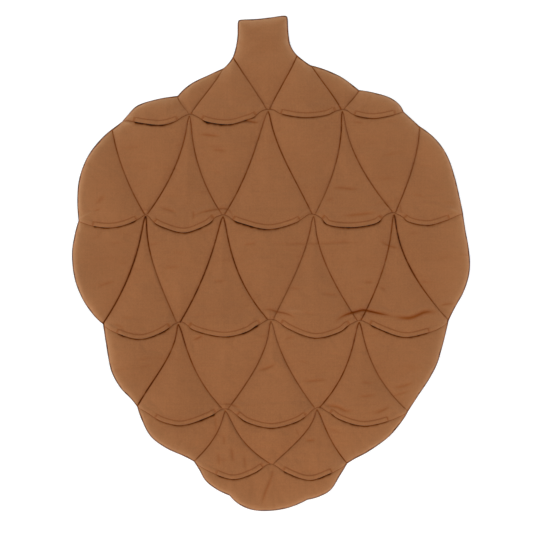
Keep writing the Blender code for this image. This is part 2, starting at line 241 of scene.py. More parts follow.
# Creases that show on the front: kind, height, width, and points along them
CREASES: list[tuple[Fold, float, float, list[Pair]]] = [
    (FOLD, 2.8, 3.4, [(150, -152), (163, -135), (178, -126), (209, -116), (223, -113),
        (237, -116), (264, -122), (288, -127), (306, -131)]),
    (FOLD, 1.9, 4.8, [(284, -127), (316, -132), (336, -132), (353, -126), (370, -119),
        (389, -118), (412, -116)]),
    (FOLD, 0.8, 3.0, [(404, -105), (425, -99), (447, -99)]),
    (FOLD, 1.2, 3.0, [(-26, -116), (-4, -112), (16, -118), (42, -124), (67, -137)]),
    (RIDGE, 0.5, 3.2, [(30, -119), (56, -114), (80, -120)]),
    (FOLD, 1.0, 2.6, [(-188, 101), (-186, 114), (-172, 120), (-156, 125), (-127, 130),
        (-114, 132), (-101, 127), (-94, 118), (-91, 106), (-82, 97)]),
    (VALLEY, 0.5, 3.0, [(-327, 126), (-306, 129), (-286, 124)]),
    (VALLEY, 0.8, 2.8, [(-188, 130), (-187, 116), (-188, 104)]),
    (VALLEY, 0.8, 3.6, [(-272, 134), (-250, 129), (-224, 121)]),
    (FOLD, 0.8, 2.8, [(-129, -343), (-106, -340), (-88, -345), (-66, -350)]),
    (FOLD, 1.0, 4.4, [(121, -347), (138, -345), (160, -347), (182, -357), (204, -353)]),
    (VALLEY, 0.9, 3.5, [(244, -364), (268, -356), (290, -342)]),
    (FOLD, 1.3, 3.0, [(-68, 340), (-56, 343), (-42, 340), (-26, 339)]),
    (VALLEY, 1.0, 3.6, [(-176, 311), (-147, 308), (-118, 305)]),
    (VALLEY, 0.8, 3.4, [(-146, 273), (-126, 272), (-104, 270)]),
    (VALLEY, 0.8, 3.8, [(139, 178), (172, 181), (195, 178), (221, 183)]),
    (VALLEY, 0.5, 4.0, [(131, 149), (153, 157)]),
    (VALLEY, 0.9, 4.0, [(165, 112), (195, 115), (230, 119), (264, 122)]),
    (VALLEY, 0.6, 3.0, [(195, 340), (225, 338)]),
    (FOLD, 0.5, 3.0, [(316, 114), (311, 150)]),
    (RIDGE, 0.8, 3.4, [(430, 134), (442, 127), (454, 122)]),
    (VALLEY, 0.5, 3.4, [(-26, 48), (20, 46), (70, 46), (125, 47), (176, 49), (220, 50),
        (258, 54)]),
    (VALLEY, 0.6, 3.4, [(-68, 42), (-50, 46), (-32, 48)]),
    (FOLD, 0.9, 2.8, [(258, 57), (284, 42), (300, 37), (316, 29)]),
    (VALLEY, 0.7, 3.4, [(222, -47), (250, -46)]),
    (VALLEY, 0.7, 3.4, [(262, -59), (279, -64)]),
    (VALLEY, 0.5, 3.6, [(42, -58), (58, -61), (74, -64)]),
    (VALLEY, 0.5, 4.0, [(117, -72), (143, -76), (169, -78)]),
    (VALLEY, 0.6, 6.0, [(-424, 140), (-412, 152), (-397, 166)]),
    (VALLEY, 0.6, 4.0, [(-424, -60), (-398, -50), (-372, -43)]),
    (VALLEY, 0.5, 4.0, [(-262, -14), (-240, -11), (-216, -8)]),
    (VALLEY, 0.6, 3.4, [(-142, -45), (-124, -44), (-107, -42)]),
    (VALLEY, 0.5, 3.6, [(-382, -147), (-366, -152), (-350, -162)]),
    (VALLEY, 0.9, 3.4, [(-36, -260), (-10, -254), (16, -240)]),
    (VALLEY, 0.5, 3.4, [(30, -186), (46, -180), (62, -176)]),
    (VALLEY, 0.7, 3.6, [(70, -288), (94, -285), (122, -283), (141, -283)]),
    (VALLEY, 1.0, 3.0, [(-190, -187), (-176, -181), (-161, -172)]),
    (FOLD, 0.9, 3.4, [(8, -498), (-4, -529), (-16, -560), (-25, -592)]),
    (VALLEY, 0.5, 3.4, [(4, -496), (2, -522)]),
    (VALLEY, 0.7, 4.0, [(-97, -442), (-90, -484)]),
    (VALLEY, 0.6, 4.0, [(-66, -461), (-60, -499)]),
    (VALLEY, 0.6, 4.0, [(-128, -454), (-124, -492)]),
    (VALLEY, 0.9, 3.4, [(82, -431), (96, -428), (110, -429)]),
    (VALLEY, 0.5, 2.4, [(60, -399), (65, -410), (70, -419)]),
    (RIDGE, 0.8, 3.0, [(33, 544), (39, 532), (49, 521)]),
    (RIDGE, 0.6, 2.6, [(27, 539), (35, 528), (41, 520)]),
    (VALLEY, 0.4, 3.0, [(-232, 282), (-213, 288)]),
    (FOLD, 0.6, 2.4, [(-427, 124), (-419, 128), (-410, 129)]),
    (VALLEY, 0.8, 4.0, [(290, -301), (312, -299), (334, -292), (349, -285)]),
    (VALLEY, 0.6, 3.6, [(284, -324), (306, -318), (340, -307)]),
    (VALLEY, 0.6, 4.0, [(205, -321), (232, -321), (258, -316)]),
    (VALLEY, 0.5, 4.0, [(213, -288), (230, -289), (248, -292)]),
    (RIDGE, 0.7, 2.6, [(-203, -461), (-198, -466), (-194, -473)]),
    (VALLEY, 0.5, 3.4, [(-138, -366), (-133, -392), (-137, -412)]),
    (VALLEY, 0.6, 3.4, [(-114, -412), (-112, -442)]),
    (RIDGE, 0.9, 2.6, [(-358, 337), (-345, 336), (-332, 335)]),
    (RIDGE, 0.8, 2.4, [(-461, 107), (-446, 117), (-430, 125)]),
    (RIDGE, 0.8, 2.4, [(-463, 98), (-461, 84), (-459, 70)]),
    (RIDGE, 0.7, 2.0, [(396, -159), (413, -151), (428, -141)]),
]


def parabola(points: Array, knots: Array, at: Array) -> Array:
    """Read the parabola through three points.

    Args:
        points: the three points.
        knots: the parameter of each point.
        at: the parameters to read it at.

    Returns:
        One point for each parameter.
    """
    a, b, c = knots
    at = at[:, None]
    return (points[0] * (at - b) * (at - c) / ((a - b) * (a - c))
            + points[1] * (at - a) * (at - c) / ((b - a) * (b - c))
            + points[2] * (at - a) * (at - b) / ((c - a) * (c - b)))


def smooth_run(points: list[Pair], step: float) -> Array:
    """Follow the smooth curve through some points.

    Between two points the curve blends the parabolas through their neighbours.

    Args:
        points: the points that the curve passes.
        step: the distance between the points returned, roughly.

    Returns:
        Points along the curve.
    """
    points = np.array(points, float)
    lengths = np.hypot(*np.diff(points, axis=0).T)
    pieces = np.maximum(1, np.round(lengths / step)).astype(int)
    if len(points) == 2:
        share = np.arange(pieces[0] + 1)[:, None] / pieces[0]
        return points[0] + (points[1] - points[0]) * share
    knots = np.concatenate([[0.0], np.cumsum(np.sqrt(lengths))])
    run = [points[:1]]
    for i, count in enumerate(pieces):
        share = np.arange(1, count + 1) / count
        at = knots[i] + (knots[i + 1] - knots[i]) * share
        before = max(i - 1, 0)
        after = min(i, len(points) - 3)
        first = parabola(points[before:before + 3], knots[before:before + 3], at)
        second = parabola(points[after:after + 3], knots[after:after + 3], at)
        run.append(first * (1 - share[:, None]) + second * share[:, None])
    return np.concatenate(run)


def smoothstep(low: float, high: float, value: Array) -> Array:
    """Rise smoothly from 0 at low to 1 at high."""
    share = np.clip((value - low) / (high - low), 0, 1)
    return share * share * (3 - 2 * share)


def quarter_round(share: Array) -> Array:
    """Rise as a quarter of an ellipse from 0 at share 0 to 1 at share 1."""
    return np.sqrt(1 - (1 - np.clip(share, 0, 1)) ** 2)


def height_of(line: Array, x: Array) -> Array:
    """Height up the plan of a line that runs from left to right, at the given x."""
    return np.interp(x, line[:, 0], line[:, 1])


def across(line: Array) -> tuple[Array, Array]:
    """Look across a line.

    Args:
        line: its points.

    Returns:
        The middle of each span, and the unit vector to its left.
    """
    side = line[1:] - line[:-1]
    normal = np.stack([-side[:, 1], side[:, 0]], axis=1) / np.hypot(*side.T)[:, None]
    return (line[:-1] + line[1:]) / 2, normal


def closed(loop: Array) -> Array:
    """A loop with its first point repeated at its end."""
    return np.concatenate([loop, loop[:1]])


def tree_of(points: Array) -> KDTree:
    """Sort points of the plan for finding the nearest.

    Args:
        points: the points.

    Returns:
        The tree that finds them.
    """
    tree = KDTree(len(points))
    for i, (x, y) in enumerate(points.tolist()):
        tree.insert((x, y, 0.0), i)
    tree.balance()
    return tree


def cut_size(loop: Array) -> Triple:
    """Measure a piece of cloth as it is cut, with its seam allowance.

    Args:
        loop: its sewn edge.

    Returns:
        Its width and its length in metres, and its area in square metres.
    """
    x, y = loop.T
    seen = abs(float((x * np.roll(y, -1) - np.roll(x, -1) * y).sum())) / 2
    around = float(np.hypot(*(closed(loop)[1:] - loop).T).sum())
    width, length = (np.ptp(loop, axis=0) + 2 * SEAM_ALLOWANCE) * MM
    return width, length, (seen + around * SEAM_ALLOWANCE) * MM * MM


@dataclass
class Near:
    """What lies nearest to each of a set of points on a track."""

    distance: Array
    side: Array  # 1 on the left of the line, -1 on its right
    along: Array  # distance from the start of the line
    line: Array  # which line of the track
    foot: Array  # the nearest point itself
    normal: Array  # unit vector to the left of the line there

    def part(self, chosen: Array) -> "Near":
        """The same for some of the points."""
        return Near(*(getattr(self, item.name)[chosen] for item in fields(self)))


class Track:
    """A set of lines that distances are measured from."""

    def __init__(self, lines: list[Array], span: float = 2.0) -> None:
        """Cut the lines into short spans.

        Args:
            lines: each line as its points.
            span: the longest span.
        """
        starts, ends, line_of, begun = [], [], [], []
        for number, line in enumerate(lines):
            length = 0.0
            for a, b in zip(line[:-1], line[1:]):
                size = float(np.hypot(*(b - a)))
                count = max(1, math.ceil(size / span))
                share = np.arange(count + 1)[:, None] / count
                cut = a + (b - a) * share
                starts.append(cut[:-1])
                ends.append(cut[1:])
                line_of.extend([number] * count)
                begun.extend(length + size * np.arange(count) / count)
                length += size
        self.start = np.concatenate(starts)
        self.vector = np.concatenate(ends) - self.start
        self.line_of = np.array(line_of)
        self.begun = np.array(begun)
        self.tree = tree_of(self.start + self.vector / 2)

    def nearest(self, points: Array) -> Near:
        """Measure points against the track.

        Args:
            points: points of the plan.

        Returns:
            The nearest place on the track for each point.
        """
        find = self.tree.find
        found = np.array([find((x, y, 0.0))[1] for x, y in points.tolist()], int)
        best = np.full(len(points), np.inf)
        index = found.copy()
        share = np.zeros(len(points))
        for shift in (-1, 0, 1):
            tried = np.clip(found + shift, 0, len(self.start) - 1)
            tried = np.where(self.line_of[tried] == self.line_of[found], tried, found)
            vector = self.vector[tried]
            offset = points - self.start[tried]
            part = np.clip((offset * vector).sum(1) / (vector ** 2).sum(1), 0, 1)
            distance = np.hypot(*(offset - vector * part[:, None]).T)
            closer = distance < best
            best = np.where(closer, distance, best)
            index = np.where(closer, tried, index)
            share = np.where(closer, part, share)
        vector = self.vector[index]
        size = np.hypot(*vector.T)
        foot = self.start[index] + vector * share[:, None]
        normal = np.stack([-vector[:, 1], vector[:, 0]], axis=1) / size[:, None]
        side = np.where(((points - foot) * normal).sum(1) >= 0, 1.0, -1.0)
        along = self.begun[index] + size * share
        return Near(best, side, along, self.line_of[index], foot, normal)


@dataclass
class Plan:
    """The mat seen from above: its outline, hems, tucked edges and quilting lines."""

    step: float = 3.0  # between the points of a line
    tuck: float = 11.0  # a tier's hidden top edge, above the notches over it
    topstitch: float = 10.2  # from a hem's edge to its topstitching
    line_start: float = 7.0  # a quilting line shows from this far below its notch
    first_spread: float = 0.6  # it starts this far to the side
    start_spread: float = 2.8  # and soon runs this much further out
    parting: float = 8.0  # within about this length
    sewn_at: Pair = (0.15, 0.35)  # where the tightness of a line is given: first, and spacing
    tacks: Triple = (0.15, 1.0, 0.2)  # points across a hem, as shares: first, end, spacing
    keep: float = 0.98  # a point moved inwards goes, unless it keeps this share of its distance

    def __post_init__(self) -> None:
        """Draw every line of the plan."""
        self.rows = list(HEMS)
        self.outline = self.draw_outline()
        self.middle = (self.outline.min(axis=0) + self.outline.max(axis=0)) / 2
        self.hems = {row: self.draw_hem(row) for row in self.rows}
        self.tucks = {row: self.draw_tuck(row) for row in self.rows}
        self.quilting = [self.draw_quilting(*line[:3]) for line in QUILTING]
        self.tightness = np.array([line[3] for line in QUILTING])
        self.lengths = np.array([np.hypot(*np.diff(line, axis=0).T).sum()
                                 for line in self.quilting])
        self.topstitches = {row: self.draw_topstitches(row) for row in self.rows}
        self.grid = np.zeros((0, 2))

    def draw_outline(self) -> Array:
        """Draw the outline counter-clockwise from the right of the neck, without closing it."""
        following = [CORNERS[corner] for corner, _ in [*OUTLINE[1:], OUTLINE[0]]]
        return np.concatenate([smooth_run([CORNERS[corner], *lobe, end], self.step)[:-1]
                               for (corner, lobe), end in zip(OUTLINE, following)])

    def draw_hem(self, row: str) -> Array:
        """Draw the hem of one row.

        Args:
            row: its letter.

        Returns:
            Points from edge to edge, through the notches.
        """
        ends = [CORNERS[f"{row}{i}"] for i in range(len(HEMS[row]) + 1)]
        runs = [smooth_run([left, *scallop, right], self.step)[:-1]
                for left, scallop, right in zip(ends, HEMS[row], ends[1:])]
        return np.concatenate([*runs, ends[-1:]])

    def draw_tuck(self, row: str) -> Array:
        """Draw the hidden top edge of the tier below a row.

        Args:
            row: the letter of the row.

        Returns:
            Points from edge to edge.
        """
        points = np.array([CORNERS[f"{row}{i}"] for i in range(len(HEMS[row]) + 1)], float)
        for end in (0, -1):
            above = self.outline[self.outline[:, 1] > points[end, 1] + self.step / 2]
            away = above - points[end] - (0, self.tuck)
            points[end] = above[np.argmin(np.hypot(*away.T))]
        points[1:-1, 1] += self.tuck
        spans = [smooth_run(pair, self.step)[:-1] for pair in zip(points[:-1], points[1:])]
        return np.concatenate([*spans, points[-1:]])

    def draw_quilting(self, start: str, end: str, bow: Pair) -> Array:
        """Draw one quilting line.

        Args:
            start: the corner that it leaves, below a notch or on the outline.
            end: the corner that it comes down to.
            bow: how far its middle hangs back towards its start, measured across, and
                how much more its first half does than its last.

        Returns:
            Points along the line.
        """
        first = np.array(CORNERS[start], float)
        last = np.array(CORNERS[end], float)
        lean = np.sign(last[0] - first[0])
        if start in NOTCH_SPREAD:
            first += (lean * self.first_spread, -self.line_start)
        if end in NOTCH_SPREAD:
            left, right = NOTCH_SPREAD[end]
            last[0] += -left if lean > 0 else right
        count = max(2, round(np.hypot(*(last - first)) / self.step))
        share = np.arange(count + 1) / count
        line = first + (last - first) * share[:, None]
        # 4 and 10.4 bring the peaks of the two curves to 1
        line[:, 0] -= lean * share * (1 - share) * (4 * bow[0] + 10.4 * bow[1] * (1 - 2 * share))
        if start in NOTCH_SPREAD:
            parted = 1 - share - np.exp(-share * np.hypot(*(last - first)) / self.parting)
            line[:, 0] += lean * self.start_spread * parted
        return line

    def tightness_at(self, near: Near) -> Array:
        """Read how tightly the quilting is sewn.

        Args:
            near: the nearest places on it.

        Returns:
            The tightness there; 1 is usual.
        """
        begin, spacing = self.sewn_at
        place = np.clip((near.along / self.lengths[near.line] - begin) / spacing, 0, 2)
        part = np.minimum(place.astype(int), 1)
        first = self.tightness[near.line, part]
        second = self.tightness[near.line, part + 1]
        return first + (second - first) * (place - part)

    def draw_topstitches(self, row: str) -> list[Array]:
        """Draw the topstitching inside a hem.

        Args:
            row: the letter of the row.

        Returns:
            One run for each scallop, with its tacks across the hem.
        """
        middles, normals = across(self.hems[row])
        runs = []
        for left, right, *_ in OPEN_HEMS[row]:
            chosen = (middles[:, 0] >= left) & (middles[:, 0] <= right)
            foot, normal = middles[chosen], normals[chosen]
            inner = foot + normal * self.topstitch
            tick = np.arange(*self.tacks)[:, None]
            first = foot[0] + (inner[0] - foot[0]) * tick
            last = foot[-1] + (inner[-1] - foot[-1]) * tick[::-1]
            runs.append(np.concatenate([first, inner, last]))
        return runs

    def tier_loop(self, number: int) -> Array:
        """Draw the edge of one tier's cloth.

        Args:
            number: 1 for the tier with the stem, 6 for the tip.

        Returns:
            A closed loop, counter-clockwise, without a repeated last point.
        """
        def place(point: Array) -> int:
            """Number of the outline's point nearest to another."""
            return int(np.argmin(np.hypot(*(self.outline - point).T)))

        loop = np.concatenate([self.outline, self.outline])
        count = len(self.outline)
        tuck = self.tucks[self.rows[number - 2]] if number > 1 else None
        hem = self.hems[self.rows[number - 1]] if number <= len(self.rows) else None
        if tuck is None:
            first, last = place(hem[-1]), place(hem[0])
            return np.concatenate([loop[first:last + count], hem[:-1]])
        left, right = place(tuck[0]), place(tuck[-1])
        if hem is None:
            return np.concatenate([loop[left:right], tuck[:0:-1]])
        low_left, low_right = place(hem[0]), place(hem[-1])
        return np.concatenate([loop[left:low_left], hem[:-1], loop[low_right:right],
                               tuck[:0:-1]])

    def in_tier(self, number: int, points: Array, margin: float) -> Array:
        """Find the points between a tier's tucked edge and its hem.

        Args:
            number: 1 for the tier with the stem, 6 for the tip.
            points: points of the plan.
            margin: how far from both they have to be.

        Returns:
            Whether each point is.
        """
        x, y = points.T
        chosen = np.ones(len(points), bool)
        if number > 1:
            chosen &= y < height_of(self.tucks[self.rows[number - 2]], x) - margin
        if number <= len(self.rows):
            chosen &= y > height_of(self.hems[self.rows[number - 1]], x) + margin
        return chosen

    def inset_outline(self, inset: float, step: float) -> Array:
        """Draw the outline moved inwards.

        Args:
            inset: how far inwards.
            step: the least distance between its points.

        Returns:
            Its points, without those that would crowd a corner.
        """
        middles, normals = across(closed(self.outline))
        moved = middles + normals * inset
        track = Track([closed(self.outline)])
        moved = moved[track.nearest(moved).distance > self.keep * inset]
        kept = [moved[0]]
        for point in moved[1:]:
            if np.hypot(*(point - kept[-1])) > step and np.hypot(*(point - moved[0])) > step / 2:
                kept.append(point)
        return np.array(kept)

    def field_grid(self, spacing: float) -> Array:
        """Spread a staggered grid over the whole mat.

        Args:
            spacing: of the grid.

        Returns:
            Its points.
        """
        low, high = self.outline.min(axis=0), self.outline.max(axis=0)
        rows = []
        for row, y in enumerate(np.arange(low[1], high[1], spacing * math.sqrt(3) / 2)):
            x = np.arange(low[0] + spacing / 2 * (row % 2), high[0], spacing)
            rows.append(np.column_stack([x, np.full(len(x), y)]))
        return np.concatenate(rows)


@dataclass
class Waves:
    """A smooth random field over the plan, the same in each run."""

    seed: int
    shortest: float
    longest: float
    count: int = 24

    def at(self, points: Array) -> Array:
        """Read the field.

        Args:
            points: points of the plan.

        Returns:
            A number from about -1 to 1 for each.
        """
        draw = np.random.default_rng(self.seed)
        length = draw.uniform(self.shortest, self.longest, self.count)
        turn = draw.uniform(0, math.pi, self.count)
        phase = draw.uniform(0, 2 * math.pi, self.count)
        total = np.zeros(len(points))
        for size, angle, start in zip(length, turn, phase):
            wave = points[:, 0] * math.cos(angle) + points[:, 1] * math.sin(angle)
            total += np.sin(2 * math.pi * wave / size + start)
        return total / math.sqrt(2 * self.count)


@dataclass
class Puckers:
    """Small folds that run into a seam at right angles, the same in each run."""

    seed: int
    height: float
    spacing: float
    reach: float
    wander: Pair = (1.4, 4.3)  # their beat strays this far, over this many of them
    variety: Pair = (0.45, 7.1)  # their height varies by this share, over this many

    def at(self, near: Near, distance: Array) -> Array:
        """Read the height of the puckers.

        Args:
            near: the nearest places on the seams.
            distance: how far from the seam the points are, 0 or more.

        Returns:
            A height above or below the plain cloth for each point.
        """
        draw = np.random.default_rng(self.seed)
        lines = int(near.line.max()) + 1
        phase = draw.uniform(0, 2 * math.pi, (lines, 2, 3))[near.line, (near.side > 0).astype(int)]
        beat = near.along / self.spacing * 2 * math.pi
        wobble = self.wander[0] * np.sin(beat / self.wander[1] + phase[:, 0])
        share, spell = self.variety
        strength = 1 - share + share * np.sin(beat / spell + phase[:, 1])
        share = distance / self.reach
        fade = share * np.exp(1 - share)
        return self.height * strength * np.sin(beat + wobble + phase[:, 2]) * fade


@dataclass
class Creases:
    """The creases that are placed one by one, and the faint ones all over the cloth."""

    seed: int = 11
    faint: int = 170
    faint_height: Pair = (0.12, 0.42)
    faint_length: Pair = (14.0, 38.0)
    faint_width: Pair = (2.6, 4.6)
    lean: float = 0.35  # how far the faint ones turn from level, in radians
    strength: float = 1.7
    depth: float = 0.24  # painted shade in a placed crease, for each millimetre of its height
    paleness: float = 2.0  # painted highlight on a ridge, against the painted shade in a crease
    step: float = 3.0
    fade: float = 0.38  # share of its length over which a crease fades out at each end
    dark_width: float = 0.85  # width of its painted shade, against its own
    reach: float = 5.0  # it ends this many widths to the side
    give: Pair = (3.0, 8.0)  # the wadding gives way over this many widths, and ends at these
    area: Pair = (480.0, 600.0)  # the faint ones lie within this to each side of the middle
    bend: float = 0.004  # how much they curve
    faint_reach: float = 1.6  # each ends this many lengths away
    faint_fade: float = 2.5  # how soon it fades along its length

    def __post_init__(self) -> None:
        """Draw the placed creases as smooth lines."""
        self.lines = [smooth_run(points, self.step) for _, _, _, points in CREASES]

    def at(self, points: Array) -> tuple[Array, Array]:
        """Read all creases at points of the plan.

        Args:
            points: points of the plan.

        Returns:
            How far each point stands up, and the shade painted on it, from 0 to 1; on
            a ridge it is below 0, a painted highlight.
        """
        height, shade = self.placed(points)
        faint = self.scattered(points)
        return height + faint, shade + self.depth * np.maximum(-faint, 0)

    def nearby(self, line: Array, points: Array, reach: float) -> tuple[Array, Near, Array]:
        """Find the points near a crease.

        Args:
            line: the crease.
            points: points of the plan.
            reach: how far from it they may be.

        Returns:
            Which points are near, their nearest places on it, and how strong it is there.
        """
        low, high = line.min(axis=0) - reach, line.max(axis=0) + reach
        chosen = np.flatnonzero(((points > low) & (points < high)).all(axis=1))
        near = Track([line]).nearest(points[chosen])
        length = float(np.hypot(*np.diff(line, axis=0).T).sum())
        fade = (smoothstep(0, self.fade * length, near.along)
                * smoothstep(0, self.fade * length, length - near.along))
        return chosen, near, fade

    def placed(self, points: Array) -> tuple[Array, Array]:
        """Read the creases that are placed one by one.

        Args:
            points: points of the plan.

        Returns:
            How far each point stands up, and the shade painted on it; below 0 a painted highlight.
        """
        total = np.zeros(len(points))
        shade = np.zeros(len(points))
        for (fold, height, width, _), line in zip(CREASES, self.lines):
            chosen, near, fade = self.nearby(line, points, self.reach * width)
            share = near.distance * near.side / width
            valley = np.exp(-share ** 2)
            # painted shade along the crease; on a ridge it becomes a painted highlight
            dark = np.exp(-(share / self.dark_width) ** 2)
            if fold is RIDGE:
                shape = valley
                dark = -self.paleness * dark
            else:
                rise, place, breadth = BESIDE[fold]
                shape = rise * np.exp(-((share - place) / breadth) ** 2) - valley
            total[chosen] += self.strength * height * shape * fade
            shade[chosen] += self.depth * height * dark * fade
        return total, shade

    def room(self, points: Array) -> Array:
        """Read how far the wadding gives way under the placed creases.

        Args:
            points: points of the plan.

        Returns:
            A depth for each.
        """
        total = np.zeros(len(points))
        for (_, height, width, _), line in zip(CREASES, self.lines):
            chosen, near, _ = self.nearby(line, points, self.give[1] * width)
            share = near.distance / width / self.give[0]
            total[chosen] += self.strength * height * np.exp(-share ** 2)
        return total

    def scattered(self, points: Array) -> Array:
        """Read the faint creases, which lie roughly across the mat.

        Args:
            points: points of the plan.

        Returns:
            A height for each.
        """
        draw = np.random.default_rng(self.seed)
        low, high = points.min(axis=0), points.max(axis=0)
        total = np.zeros(len(points))
        for _ in range(self.faint):
            centre = draw.uniform(np.negative(self.area), self.area)
            angle = draw.uniform(-self.lean, self.lean)
            length = draw.uniform(*self.faint_length)
            width = draw.uniform(*self.faint_width)
            height = draw.uniform(*self.faint_height) * draw.choice((-1, -1, 1))
            bend = draw.uniform(-self.bend, self.bend)
            if (centre + length < low).any() or (centre - length > high).any():
                continue
            offset = points - centre
            chosen = np.flatnonzero(np.abs(offset).max(axis=1) < self.faint_reach * length)
            u = offset[chosen, 0] * math.cos(angle) + offset[chosen, 1] * math.sin(angle)
            v = offset[chosen, 1] * math.cos(angle) - offset[chosen, 0] * math.sin(angle)
            v = v - bend * u ** 2
            along = (u / length) ** 2 * self.faint_fade
            total[chosen] += height * np.exp(-(v / width) ** 2 - along)
        return total


@dataclass
class Settled:
    """How far the front cloth moved up or down when it settled over its wadding."""

    corner: Array
    pitch: float
    heights: Array  # by row and column of a level grid over the plan

    def at(self, points: Array) -> Array:
        """Read the movement.

        Args:
            points: points of the plan.

        Returns:
            How far up each moved.
        """
        place = (points - self.corner) / self.pitch
        column = np.clip(place[:, 0], 0, self.heights.shape[1] - 1.001)
        row = np.clip(place[:, 1], 0, self.heights.shape[0] - 1.001)
        i, j = row.astype(int), column.astype(int)
        u, v = row - i, column - j
        grid = self.heights
        low = grid[i, j] * (1 - v) + grid[i, j + 1] * v
        high = grid[i + 1, j] * (1 - v) + grid[i + 1, j + 1] * v
        return low * (1 - u) + high * u


@dataclass
class Survey:
    """A set of points of the plan with everything that is measured at them."""

    points: Array
    quilting: Near
    edge: Near
    stuffing: Array  # height of the wadding's upper face before hems press on it
    shade: Array  # painted shade in creases and puckers; below 0 on a ridge, a painted highlight

    def part(self, chosen: Array) -> "Survey":
        """The same for some of the points."""
        return Survey(self.points[chosen], self.quilting.part(chosen), self.edge.part(chosen),
                      self.stuffing[chosen], self.shade[chosen])


@dataclass
class EdgeSeam:
    """The seam round the mat, where the front cloth meets the turned-up back cloth."""

    place: float = 2.7  # how far in from the edge it runs
    wander: float = 0.3  # and the share of that by which it strays
    lip: float = 1.15  # the back cloth, painted as in shade, ends at this share of that
    darkness: float = 0.90  # painted shade on that lip
    shadow: float = 0.30  # painted shadow just inside it
    shadow_reach: float = 4.0
    glint: float = 0.55  # painted highlight along the turned edge of the front cloth
    glint_place: float = 2.8
    glint_level: float = 0.6  # how much of it glints, more or less by the unevenness
    worn_from: float = 3.3  # width inside the seam over which the pale painted band comes in
    worn: tuple[Pair, Pair] = ((0.8, 8.0), (0.3, 26.0))  # painted highlight along the rim, a pale veil of light: how strong, over which width
    groove: float = 0.5  # depth of the seam itself
    groove_reach: float = 0.8
    unevenness: Waves = field(default_factory=lambda: Waves(31, 16.0, 60.0))

    def run(self, survey: Survey) -> Array:
        """How far in from the edge the seam runs beside each point."""
        return self.place * (1 + self.wander * self.unevenness.at(survey.points))

    def past(self, survey: Survey) -> Array:
        """How far inside the seam each point lies."""
        return survey.edge.distance - self.run(survey)

    def shade(self, survey: Survey) -> Array:
        """Read the shade painted on the cloth beside the seam.

        Args:
            survey: the points.

        Returns:
            The painted shade on each, from 0 to 1.
        """
        away = survey.edge.distance
        lip = self.lip * self.run(survey)
        return np.maximum(self.darkness * np.exp(-(away / lip) ** 8),
                          self.shadow * np.exp(-(away / self.shadow_reach) ** 2))

    def rise(self, survey: Survey, reach: float) -> Array:
        """How far the mat has risen to its full height, from 0 to 1."""
        return quarter_round(self.past(survey) / reach)

    def sink(self, survey: Survey) -> Array:
        """How far the cloth sinks into the seam."""
        return self.groove * np.exp(-(self.past(survey) / self.groove_reach) ** 2)

    def rub(self, survey: Survey) -> Array:
        """Read the painted highlight: a pale band along the seam, a glint on its edge, and pale
        ridges.

        Args:
            survey: the points.

        Returns:
            A number from 0 to about 1 for each.
        """
        away = survey.edge.distance
        past = self.past(survey)
        worn = sum(share * np.exp(-away / width) for share, width in self.worn)
        worn = smoothstep(0, self.worn_from, past) * worn
        glint = self.glint_level * (1 - self.unevenness.at(survey.points[:, ::-1]))
        glint = self.glint * np.clip(glint, 0, 1) * np.exp(-(past - self.glint_place) ** 2)
        # ridges get a painted highlight from their negative painted shade
        return worn + glint + np.maximum(-survey.shade, 0)


@dataclass
class Layer:
    """One tier's cloth while its faces are worked out."""

    bottom: Array  # height of its lower face
    thickness: Array
    rim: Array  # its height at the edge seam
    rounding: Array  # share of its thickness that is left beside its edges
    crevice: Array  # painted shade on each point, from 0 to 1: in grooves, creases and under hems
